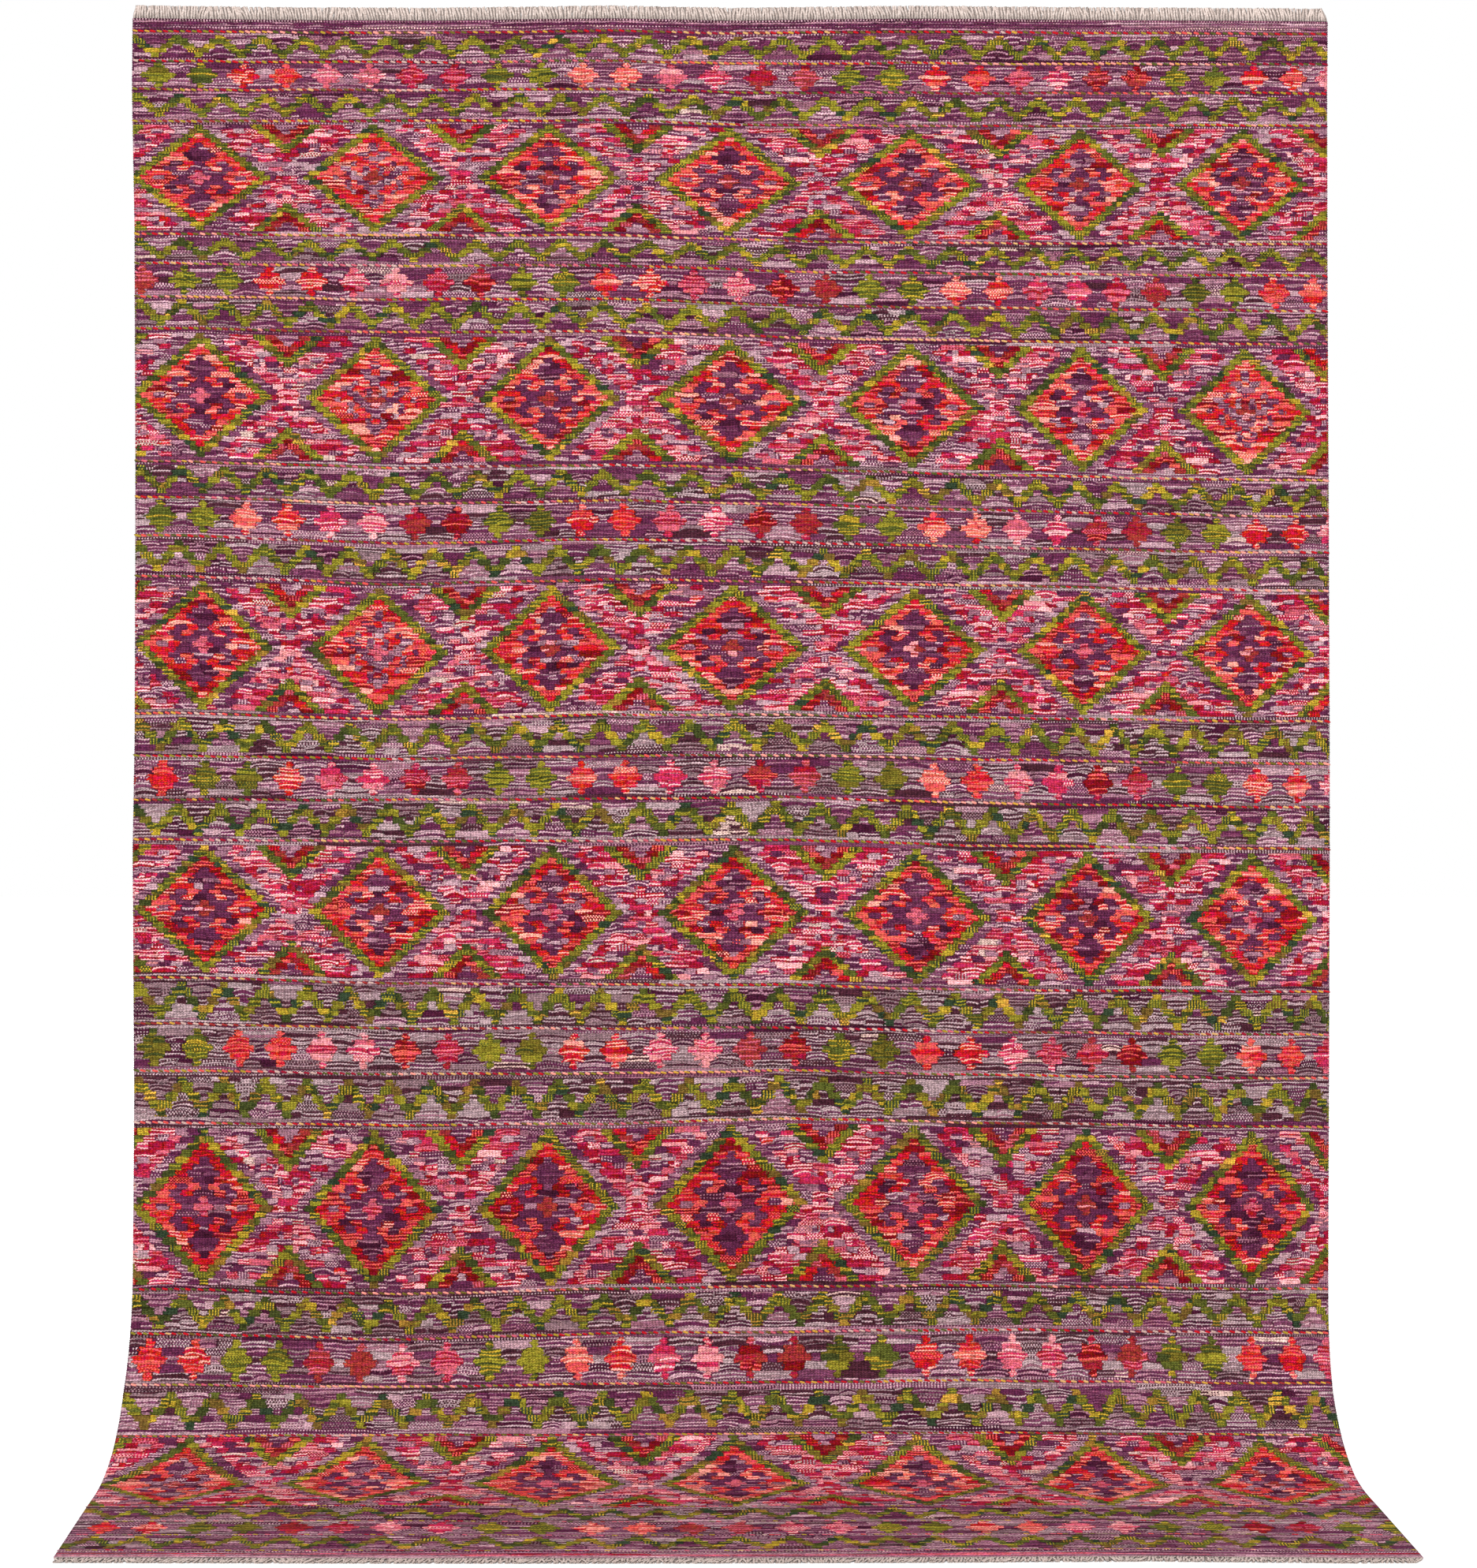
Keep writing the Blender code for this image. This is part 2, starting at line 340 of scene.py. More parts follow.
# the five rows of the plain strip at the top, from the fringe inwards, then those at the foot
endRows = [
    ("hatch", [(70, "aubergine", "mauve"), (30, "blackPlum", "greyLilac")]),
    ("stripes", [(60, "mauve", "aubergine"), (40, "plum", "greyLilac")]),
    ("lines", [(70, "mauve", "aubergine"), (30, "aubergine", "mauve")]),
    ("dots", [(60, "plum", "ecruPink"), (40, "aubergine", "greyLilac")]),
    ("stripes", [(50, "greyLilac", "plum"), (50, "mauve", "aubergine")]),
    ("stripes", [(60, "mauve", "greyLilac"), (40, "plum", "mauve")]),
    ("lines", [(50, "mauve", "rose"), (50, "mauve", "plum")]),
    ("lines", [(60, "crimson", "mauve"), (40, "plum", "rose")]),
    ("stripes", [(60, "mauve", "plum"), (40, "aubergine", "greyLilac")]),
    ("dots", [(60, "plum", "ecruPink"), (40, "aubergine", "greyLilac")]),
]
# how many units, of 5 mm, a block of each kind is across, from and to
blockSpans = {
    "G": (2, 5), "F": (4, 9), "M": (3, 9), "N": (2, 5), "m": (2, 4), "B": (3, 7), "K": (4, 8), "C": (3, 6),
    "S": (2, 5), "T": (3, 6), "V": (3, 7), "P": (3, 7), "leg": (2, 6), "trapezoid": (3, 12),
    "lozenge": (3, 13), "ground": (5, 16), "plainRow": (14, 60), "end": (30, 90), "twined": (20, 70),
}
# at these lengths along the cloth: the share of dark purples, of the greyed dye lots, of the
# deeper reds and hearts, and of the browner greens
shareAlong = [0.0, 0.2, 0.55, 1.0, 1.4, 1.7, 2.2, 2.4, 2.6, 3.0]
darkShare = [0.66, 0.60, 0.58, 0.50, 0.42, 0.34, 0.46, 0.52, 0.56, 0.60]
greyShare = [0.0, 0.05, 0.20, 0.50, 0.60, 0.95, 0.65, 0.40, 0.25, 0.1]
deepShare = [0.0, 0.0, 0.15, 0.35, 0.6, 0.75, 0.80, 0.15, 0.05, 0.0]
mossShare = [0.0, 0.1, 0.2, 0.3, 0.45, 0.55, 0.7, 0.8, 0.9, 0.9]


grid = {
    "units": 400,  # pairs of warps across the cloth
    "pickHeight": 0.0031,  # of one whole line of weft: a pass over the odd warps and one over the even
    "lineHeight": 0.0048,  # of a twined line
    "wholeLines": 0.7,  # the share of blocks whose yarns change at a whole line, not within one
    # the weft behind a twined line is dark this often: partly its own yarn, partly painted shadow under the
    # stitches
    "twinedShadowShare": 0.6,  # how often the weft behind a twined line is dark
    "seed": 17,
    # how far a block's lines arch, in passes, from and to: in one of over 5 units, and in a narrow one
    "wideBlock": 5,
    "wideArch": (-0.6, 1.4),
    "narrowArch": (-0.4, 0.4),
    # how the sides of blocks are eased, in warps
    "slope": 0.2,  # how far a stepped edge is eased towards a slant, for each unit of its step
    "corner": 0.5,  # how far a step's corner is drawn in
    "tip": 1.7,  # how far a lozenge's middle row is, so that its sides are round
    "uneven": 0.9,  # how far the joint of two blocks of one kind leans, at most
    # how far the beat leaves a row's foot uneven, as a share of the row's height: of thick rows, of
    # over 6 mm, and of thin ones
    "thickRow": 0.006,
    "thickJolt": 0.13,
    "thinJolt": 0.06,
    "fewBlocks": 60,  # a row of fewer gets points every 8 units too, so that it follows the weave
    "pointEvery": 8,
}

# zigzags, lozenges and diamonds, in units
motif = {
    "repeat": 14,  # from one zigzag or lozenge to the next
    "lozengeWidth": 11,  # of its middle row
    "diamondRepeat": 58,
    "cell": 2,
    "freshPurple": 0.7,  # how often a trapezoid takes new yarns in its next row
    "sameLozenge": 0.75,  # how often a lozenge keeps its yarns in a row
}

# How the hand-beaten weave wanders, in mm at six columns across: how far sideways the warps
# have gone, and how far downhill the wefts run. Each row starts with its place along.
clothColumns = [0.04, 0.22, 0.40, 0.55, 0.70, 0.94]
driftTable = np.array([
    (0, 3, 5, 15, 40, 50, 17), (300, 2, 5, 9, 23, 35, 5), (800, 1, 8, 6, 33, 38, 16),
    (1200, 1, 4, 2, 26, 33, 10), (1600, 2, 4, 4, 24, 41, 15), (2000, 6, -4, 2, 26, 38, 19),
    (2350, 9, 9, 25, 26, 41, 15), (2600, 2, 0, 22, 29, 35, 8), (2946, -6, -5, 14, 32, 29, 9),
]) / 1000
bowTable = np.array([
    (0, 0, 0, 0, 0, 0, 0), (200, -4, -6, -5, 3, 6, 2), (500, -13, -6, -8, 3, 8, 13),
    (800, -12, 1, -6, 1, 11, 21), (1100, -11, 6, -6, -4, -3, 4), (1300, -3, -3, -5, -8, 2, 9),
    (1600, -14, -3, -1, 0, 9, 11), (1900, 2, 5, 1, -10, -3, 5), (2200, -1, 9, -2, -4, -8, -3),
    (2350, 8, 7, 5, 2, -1, 4), (2500, 28, 18, 24, 18, 24, 27), (2600, 8, -2, 8, 3, 3, 7),
    (2700, 9, 2, 12, 6, 4, 6), (2946, 0, 0, 0, 0, 0, 0),
]) / 1000

# bands from the top: kind, depth from twined line to twined line, row height (mm), first unit,
# and how closely the motifs follow each other, which is 1 if it isn't given
bands = [
    ("zigzag", 50.9, 7.8, 14), ("lozenges", 48.2, 8.4, 8), ("zigzag", 53.5, 8.0, 15),
    ("diamonds", 193.5, 7.9, 21), ("zigzag", 50.9, 7.5, 15), ("lozenges", 56.8, 10.0, 2),
    ("zigzag", 54.2, 9.0, 15), ("diamonds", 221.9, 8.95, 21), ("zigzag", 59.4, 9.2, 15),
    ("lozenges", 64.8, 10.9, 8), ("zigzag", 67.3, 10.3, 14), ("diamonds", 226.6, 9.25, 22),
    ("zigzag", 68.7, 10.8, 15), ("lozenges", 71.3, 11.5, 9), ("zigzag", 69.4, 11.2, 14),
    ("diamonds", 237.7, 9.6, 23), ("zigzag", 73.4, 12.2, 15), ("lozenges", 74.6, 12.0, 6),
    ("zigzag", 83.2, 13.0, 15), ("diamonds", 278.4, 11.4, 22), ("zigzag", 74.0, 11.5, 15),
    ("lozenges", 82.3, 13.8, 6), ("zigzag", 95.0, 13.9, 14), ("diamonds", 273.0, 11.6, 22),
    ("zigzag", 87.0, 12.7, 1, 0.985), ("lozenges", 79.0, 13.9, 8, 0.97), ("zigzag", 87.0, 14.0, 7, 0.97),
]
topStrip = 21.1  # from the woven edge to the first twined line, mm

# the first lozenges of each lozenge band, which then go on in the usual order
lozengeLeads = ["GGCCPPRR", "R", "", "CGGCPPRR", "", "CCGGRRPP",
                "CCGGRRPPGGCCRRPPGGCCPPGGRRGG"]
lozengeCycle = "GGCCPPRR"

# Half a diamond and its half of the ground, from its middle outwards, a letter for each cell
# of two units, from the middle row to its point: P, M, m and N for its heart, F for the red
# field, G for green, B for the purple border, K for the pink ground, and C, S, T and V on it.
diamondChart = [
    "PPMMFFmmFFGGBKC", "PMMMMFFFFGGBBKK", "MMFFMMFFGGBBKKS", "MFFMMFFGGBBKKKK",
    "MMFFFFGGBBKKKSC", "MMMFFGGBBKKKKKK", "MMFFGGBBKCKSSKG", "MFFGGBBKKSSKKGG",
    "FFGGBBKKKKKKGGT", "FGGBBCCKKKKGGTT", "GGBBKKSSKKGGTTV", "GBBBBKKKKGGTTVV",
]
# how each diamond's heart is woven, band by band: d dark, s softer, o open, with much coral in it
diamondHearts = ["dosddsd", "dodddso", "dosddsd", "dsssdds", "ddddsdd", "sssdsds"]
# the green legs of a zigzag, as the cells from its peak that are green in each row
zigzagLegs = [(0, 0), (0, 1), (1, 2), (2, 3), (3, 3)]
zigzagHeights = [0.8, 1.15, 1.05, 0.95, 1.05]  # of each of its rows, as a share of the band's own

lozengeYarns = {
    "G": [("olive", "darkGreen"), ("lime", "green"), ("green", "yellowOlive"), ("lime", "darkGreen")],
    "C": [("red", "peach"), ("coral", "red"), ("red", "coral"), ("coral", "peach")],
    "P": [("rose", "crimson"), ("rose", "blush"), ("magenta", "blush"), ("paleRose", "magenta")],
    "R": [("brick", "rose"), ("crimson", "rose"), ("deepRed", "coral"), ("brick", "crimson")],
}

chance = random.Random(grid["seed"])


def weighted(rows):
    total = chance.uniform(0, sum(row[0] for row in rows))
    for row in rows:
        total -= row[0]
        if total <= 0:
            return row[1:]
    return rows[-1][1:]


def purplePair(along):
    dark = chance.random() < np.interp(along, shareAlong, darkShare)
    if chance.random() < np.interp(along, shareAlong, greyShare):
        return weighted(greyDarks if dark else greyLights)
    return weighted(darkPurples if dark else lightPurples)


def lotPair(kind, along):
    # a pair of yarns for a block, from the dye lots used at its place along
    share = {"F": deepShare, "M": deepShare, "G": mossShare}.get(kind)
    deeper = share is not None and chance.random() < np.interp(along, shareAlong, share)
    return weighted(blockYarns["deep" + kind if deeper else kind])


def cellsOut(unit, first, repeat):
    # which motif a unit belongs to, and how many cells it is from the middle of it
    shifted = unit - first + repeat // 2
    return shifted // repeat, abs(shifted % repeat - repeat // 2) // motif["cell"]


def rowOfZigzag(row, first, pace, along, trapezoids):
    # (kind of block, yarns) for every unit, as the other rows are too
    cells = []
    repeat = motif["repeat"]
    for unit in (int(place * pace) for place in range(grid["units"])):
        peak, out = cellsOut(unit, first, repeat)
        inner, outer = zigzagLegs[row]
        if inner <= out <= outer:
            cells.append(("leg", None))
            continue
        upper = out > outer
        key = ((unit - first) // repeat if upper else peak, upper)
        if key not in trapezoids or trapezoids[key][0] != row and chance.random() < motif["freshPurple"]:
            trapezoids[key] = (row, purplePair(along))
        elif trapezoids[key][0] != row:
            trapezoids[key] = (row, trapezoids[key][1])
        cells.append(("trapezoid", trapezoids[key][1]))
    return cells


def rowOfLozenges(row, first, pace, order, choices):
    reach = 2 - abs(row - 2)  # a lozenge is five rows high
    cells = []
    for unit in (int(place * pace) for place in range(grid["units"])):
        number, out = cellsOut(unit, first, motif["repeat"])
        if out > reach:
            cells.append(("ground", None))
            continue
        letter = order[number] if number >= 0 else lozengeCycle[-1]
        if number not in choices:
            choices[number] = chance.choice(lozengeYarns[letter])
        if (number, row) not in choices:
            keeps = chance.random() < motif["sameLozenge"]
            choices[number, row] = choices[number] if keeps else chance.choice(lozengeYarns[letter])
        cells.append(("lozenge", choices[number, row]))
    return cells


def rowOfDiamonds(row, first, hearts, diamonds):
    chartRow = diamondChart[abs(row + 1 - len(diamondChart))]
    cells = []
    for unit in range(grid["units"]):
        number, out = cellsOut(unit, first, motif["diamondRepeat"])
        letter = chartRow[out]
        if number not in diamonds:
            heart = hearts[number] if 0 <= number < len(hearts) else "s"
            diamonds[number] = (weighted(blockYarns["P"]), heart)
        centre, heart = diamonds[number]
        if letter == "m" and heart == "s":
            letter = "F"
        if letter in "Mm" and heart == "o":
            letter = "F" if (row + out) % 3 == 0 else "N"
        if letter == "M" and heart == "s" and row % 3 == 1:
            letter = "N"
        cells.append((letter, centre if letter == "P" else None))
    return cells


def splitRuns(cells, spanKey=None):
    # runs of the same letter and yarns, cut into blocks of a natural length
    blocks = []
    start = 0
    for unit in range(1, len(cells) + 1):
        if unit < len(cells) and cells[unit] == cells[start]:
            continue
        low, high = blockSpans[spanKey or cells[start][0]]
        while start < unit:
            span = chance.randint(low, high)
            if unit - start - span < low:
                span = unit - start if unit - start <= high else (unit - start) // 2
            blocks.append((start, start + span, cells[start]))
            start += span
    return blocks


def dressBlock(block, along, height):
    # gives a block its two yarns, how they alternate, and how far its lines arch
    start, end, (kind, pair) = block
    if kind == "end":
        weave, pairs = endRows[pair]
        pair = weighted(pairs)
    else:
        woven = "G" if kind == "leg" else kind
        # the often dark weft behind a twined line is partly its own yarn, partly painted shadow under the
        # stitches
        if kind == "twined" and chance.random() < grid["twinedShadowShare"]:
            pair = weighted(darkPurples)
        elif pair is None:
            ofPurples = kind in ("trapezoid", "ground", "plainRow", "twined")
            pair = purplePair(along) if ofPurples else lotPair(woven, along)
        if kind in ("trapezoid", "ground"):
            woven = "dark" if pair[0] in ("aubergine", "plum", "blackPlum", "dusk") else "light"
        weave = weighted(blockWeaves[woven])[0]
    orders, share = weaves[weave]
    phase = chance.random()
    if orders > 0 and chance.random() < grid["wholeLines"]:
        phase = (round(phase * orders / 2) * 2 + 0.5) / orders
    return {
        "start": start, "end": end, "ground": pair[0], "second": pair[1],
        "orders": orders, "share": share, "phase": phase, "seed": chance.random(),
        "picks": max(1, round(height / grid["pickHeight"])),
        "arch": chance.uniform(*grid["wideArch" if end - start > grid["wideBlock"] else "narrowArch"]),
        "kind": kind,
    }


def chartRows():
    # every row of blocks down the cloth, as its top, its height and its blocks
    rows = []
    twined = []

    def add(height, cells, spanKey=None):
        top = rows[-1]["top"] + rows[-1]["height"] if rows else 0.0
        blocks = [dressBlock(block, top, height) for block in splitRuns(cells, spanKey)]
        rows.append({"top": top, "height": height, "blocks": blocks, "kinds": [cell[0] for cell in cells]})

    def addPlain(height, kind="plainRow", pair=None):
        if height > 0.0005:
            add(height, [(kind, pair)] * grid["units"])

    def addTwined():
        twined.append(rows[-1]["top"] + rows[-1]["height"] + grid["lineHeight"] / 2)
        add(grid["lineHeight"], [("twined", None)] * grid["units"])

    halfLine = grid["lineHeight"] / 2
    for part in range(5):
        addPlain((topStrip / 1000 - halfLine) / 5, "end", part)
    lozengeBand, diamondBand = 0, -1
    for kind, depth, rowHeight, first, *closeness in bands:
        pace = closeness[0] if closeness else 1.0
        addTwined()
        count = 2 * len(diamondChart) - 1 if kind == "diamonds" else len(zigzagLegs)
        spare = (depth - count * rowHeight) / 1000 - grid["lineHeight"]
        addPlain(spare / 2)
        order = None
        if kind == "lozenges":
            order = lozengeLeads[lozengeBand] + lozengeCycle * 5
            lozengeBand += 1
        diamondBand += kind == "diamonds"
        memory = {}
        for row in range(count):
            along = rows[-1]["top"]
            if kind == "zigzag":
                cells = rowOfZigzag(row, first, pace, along, memory)
            elif kind == "lozenges":
                cells = rowOfLozenges(row, first, pace, order, memory)
            else:
                cells = rowOfDiamonds(row, first, diamondHearts[diamondBand], memory)
            share = zigzagHeights[row] if kind == "zigzag" else 1.0
            add(rowHeight * share / 1000, cells)
        addPlain(spare / 2)
    addTwined()
    left = wovenLength - rows[-1]["top"] - rows[-1]["height"]
    for part in range(5):
        addPlain(left / 5, "end", 9 - part)
    return rows, twined


def easeEdges(rows):
    # Where the same two kinds of block meet in the next row too, their joint slants towards it.
    # Values are in warps at a row's top and foot, + to the right.
    def shift(kinds, unit, left, right):
        for away in (0, 1, -1, 2, -2, 3, -3):
            place = unit + away
            if 0 < place < grid["units"] and kinds[place - 1] == left and kinds[place] == right:
                return away * grid["slope"]
        if kinds[unit - 1] == kinds[unit] == left:
            return grid["corner"]
        if kinds[unit - 1] == kinds[unit] == right:
            return -grid["corner"]
        return 0.0

    for index, row in enumerate(rows):
        blocks = row["blocks"]
        blocks[0]["left"] = (blocks[0]["ground"], 0.0, 0.0)
        blocks[-1]["right"] = (blocks[-1]["ground"], 0.0, 0.0)
        for block, following in zip(blocks, blocks[1:]):
            left, right = block["kind"], following["kind"]
            if left == right:
                top, foot = (chance.uniform(-grid["uneven"], grid["uneven"]) for corner in range(2))
            elif "lozenge" in (left, right) and motif["lozengeWidth"] in (
                    block["end"] - block["start"], following["end"] - following["start"]):
                top = foot = grid["tip"] if right == "lozenge" else -grid["tip"]
            else:
                above = rows[max(index - 1, 0)]["kinds"]
                below = rows[min(index + 1, len(rows) - 1)]["kinds"]
                top = shift(above, following["start"], left, right)
                foot = shift(below, following["start"], left, right)
            block["right"] = (following["ground"], top, foot)
            following["left"] = (block["ground"], top, foot)


rows, twinedLines = chartRows()
easeEdges(rows)
print("pattern charted:", len(rows), "rows,", sum(len(row["blocks"]) for row in rows), "blocks")


def wander(table, across, along):
    # a wander table's value at a place, on straight lines between its columns and rows
    across, along = np.broadcast_arrays(across, along)
    last = len(clothColumns) - 1
    columns = np.stack([np.interp(along, table[:, 0], column) for column in table.T[1:]], axis=-1)
    share = np.interp(across, clothColumns, range(last + 1))
    near = np.clip(np.floor(share).astype(int), 0, last - 1)
    low = np.take_along_axis(columns, near[..., None], axis=-1)[..., 0]
    high = np.take_along_axis(columns, near[..., None] + 1, axis=-1)[..., 0]
    return low + (share - near) * (high - low)


def unitAcross(unit, along):
    # the place across, 0 to 1, of a line between two units: the outermost warps run straight
    straight = np.asarray(unit) / grid["units"]
    inside = np.clip(np.minimum(straight, 1 - straight) / clothColumns[0], 0, 1)
    return straight + inside * wander(driftTable, straight, along) / hang["width"]


beat = {
    # waves of the wefts: share, length across, and how many there are to a metre along
    "waves": ((1.0, 0.31, 6.3), (0.6, 0.117, -4.1)),
    "reach": 0.0005,
    "endFade": 0.03,
}


def bowed(across, along):
    # where a weft that starts at a length along really runs
    x = across * hang["width"]
    waves = sum(share * np.sin(2 * math.pi * (x / wide + along * turns))
                for share, wide, turns in beat["waves"])
    edge = np.clip(np.minimum(along, wovenLength - along) / beat["endFade"], 0, 1)
    return along + wander(bowTable, across, along) + beat["reach"] * waves * edge


def addLayout(mesh, name, u, v):
    # a UV map, from a place for each point
    corners = np.empty(len(mesh.loops), np.int32)
    mesh.loops.foreach_get("vertex_index", corners)
    layout = np.stack([u, v], axis=-1)[corners]
    mesh.uv_layers.new(name=name).uv.foreach_set("vector", layout.astype(np.float32).ravel())


def inLayout(share):
    # a place across the bake layout, a little inside its edges
    return 0.001 + 0.998 * share


def addNumbers(mesh, name, domain, values):
    # an attribute of one or three numbers for each point or face
    values = np.array(values, np.float32)
    kind, field = ("FLOAT_VECTOR", "vector") if values.ndim == 2 else ("FLOAT", "value")
    mesh.attributes.new(name, kind, domain).data.foreach_set(field, values.ravel())


def clothLines():
    # The lines between the rows: for each, a dictionary from unit to point and its units in order.
    # Then every point's place across and along.
    lines, acrossAll, alongAll = [], [], []
    count = 0
    last = len(rows)
    starts = [{block["start"] for block in row["blocks"]} | {grid["units"]} for row in rows]
    for index in range(last + 1):
        units = set().union(*starts[max(index - 1, 0):index + 1])
        if len(units) < grid["fewBlocks"]:
            units.update(range(0, grid["units"], grid["pointEvery"]))
        units = sorted(units)
        lines.append((dict(zip(units, range(count, count + len(units)))), units))
        count += len(units)
        top = rows[index]["top"] if index < last else wovenLength
        across = unitAcross(np.array(units, float), top)
        lower = min(rows[index - 1]["height"], rows[index]["height"]) if 0 < index < last else 0.0
        uneven = grid["thickJolt" if lower > grid["thickRow"] else "thinJolt"] * lower
        jolt = np.array([chance.uniform(-uneven, uneven) for unit in units])
        acrossAll.append(across)
        alongAll.append(bowed(across, np.full(len(units), min(top, wovenLength))) + jolt)
    return lines, np.concatenate(acrossAll), np.clip(np.concatenate(alongAll), 0.0, wovenLength)


def blockFaces(block, upper, lower):
    # a block's faces between the lines above and below it, as corners of point, unit and pass
    high = [unit for unit in upper[1] if block["start"] <= unit <= block["end"]]
    low = [unit for unit in lower[1] if block["start"] <= unit <= block["end"]]
    i = j = 0
    while i < len(high) - 1 or j < len(low) - 1:
        nextHigh = high[i + 1] if i < len(high) - 1 else math.inf
        nextLow = low[j + 1] if j < len(low) - 1 else math.inf
        ring = [(upper[0][high[i]], high[i], 0), (lower[0][low[j]], low[j], block["picks"])]
        if nextLow <= nextHigh:
            j += 1
            ring.append((lower[0][low[j]], low[j], block["picks"]))
        if nextHigh <= nextLow:
            i += 1
            ring.append((upper[0][high[i]], high[i], 0))
        yield ring


def wovenCloth():
    # one closed sheet. A face is one block of colour, or a piece of it, and holds its yarns.
    lines, across, along = clothLines()
    count = len(across)
    half = hang["thickness"] / 2
    points = np.concatenate([clothSpot(across, along, half), clothSpot(across, along, -half)])
    faces, places, owners = [], [], []

    def addFace(corners, cornerPlaces, block):
        faces.append(corners)
        places.extend(cornerPlaces)
        owners.append(block)

    for index, row in enumerate(rows):
        for block in row["blocks"]:
            for ring in blockFaces(block, lines[index], lines[index + 1]):
                corners = [corner for corner, unit, pick in ring]
                ringPlaces = [((unit - block["start"]) * 2.0, float(pick)) for corner, unit, pick in ring]
                addFace(corners, ringPlaces, block)
                addFace([corner + count for corner in reversed(corners)], ringPlaces[::-1], block)
    flatFrom = len(faces)

    def addRim(corner, following, block, place=(0.5, 0.5)):
        # a face of the cloth's 3 mm edge, wound so that it looks outwards
        addFace([corner, following, following + count, corner + count], [place] * 4, block)

    for line, block, step in ((lines[0], rows[0]["blocks"][0], 1), (lines[-1], rows[-1]["blocks"][0], -1)):
        corners = [line[0][unit] for unit in line[1]]
        for pair in zip(corners, corners[1:]):
            addRim(*pair[::step], block, (1.5, 0.5))
    for row, (upper, _), (lower, _) in zip(rows, lines, lines[1:]):
        last = grid["units"]
        addRim(lower[0], upper[0], row["blocks"][0])
        addRim(upper[last], lower[last], row["blocks"][-1])

    mesh = bpy.data.meshes.new("wovenCloth")
    mesh.from_pydata(points.tolist(), [], faces)
    mesh.polygons.foreach_set("use_smooth", np.arange(len(faces)) < flatFrom)
    layer = mesh.uv_layers.new(name="blockGrid")
    layer.uv.foreach_set("vector", np.array(places, np.float32).ravel())
    across, along = np.tile(across, 2), np.tile(along, 2)
    addLayout(mesh, "surface", across * hang["width"], along)
    addLayout(mesh, "OFBake", inLayout(across), 1 - inLayout(along / wovenLength))
    for name, values in (
        ("blockYarn", [(yarnCode(b["ground"]), yarnCode(b["second"]), b["seed"]) for b in owners]),
        ("blockWeave", [(b["orders"], b["share"], b["phase"]) for b in owners]),
        ("blockSize", [((b["end"] - b["start"]) * 2.0, b["picks"], b["arch"]) for b in owners]),
        ("blockLeft", [(yarnCode(b["left"][0]),) + b["left"][1:] for b in owners]),
        ("blockRight", [(yarnCode(b["right"][0]),) + b["right"][1:] for b in owners]),
    ):
        addNumbers(mesh, name, "FACE", values)
    mesh.validate()
    cloth = bpy.data.objects.new("wovenCloth", mesh)
    bpy.context.scene.collection.objects.link(cloth)
    print("cloth woven:", len(faces), "faces,", sum(len(face) - 2 for face in faces), "triangles")
    return cloth


wool = {
    # the patches of each unevenness, across and along the cloth, in mm
    "beat": (29.4, 11.1),
    "sway": (16.7, 2.326),
    "melt": (9.1, 2.63),
    "fleck": (14.3, 3.03),
    "lot": (111, 9.1),
    "streak": (143, 5.88),
    "hue": (11.1, 4.76),
    "beatReach": 1.5,  # how far the lines wander, in passes
    "swayReach": 1.1,  # how far the beads wander sideways, in warps
    "oddLift": 0.22,  # how much higher a line's beads lie over every other warp, in passes
    "meltReach": 0.32,  # how far two yarns run into each other, as a share of their repeat
    "raggedReach": 1.0,  # how far a line may pass its block's side, in warps
    "beadTone": 0.95,
    "fleckTone": 1.2,
    "pressed": (2.30, 2.75),  # along: from here to here, the cloth comes to lie pressed on the floor
    # ranges, from these two values to those two
    "tones": (0.65, 2.55, 0.30, 1.66),
    # the streaks on the pressed part: partly its wear, partly painted light and shade
    "streaks": (0.3, 0.7, -0.42, 0.5),
    "beadSides": (0.0, 1.0, 0.66, 1.0),
    # painted shade: of the grooves between warp pairs, of each bead's rounding, of the slits at a block's
    # sides and of the seams between rows
    "ribShades": (0.0, 0.8, 0.66, 1.11),
    "grooveShades": (0.0, 0.7, 0.25, 1.19),
    "joints": (0.0, 0.5, 0.38, 1.0),
    "seamShades": (0.0, 0.26, 0.5, 1.0),
    "hues": (0.25, 0.75, 0.486, 0.514),
    "bump": (0.7, 0.0006),  # its strength and its depth
}


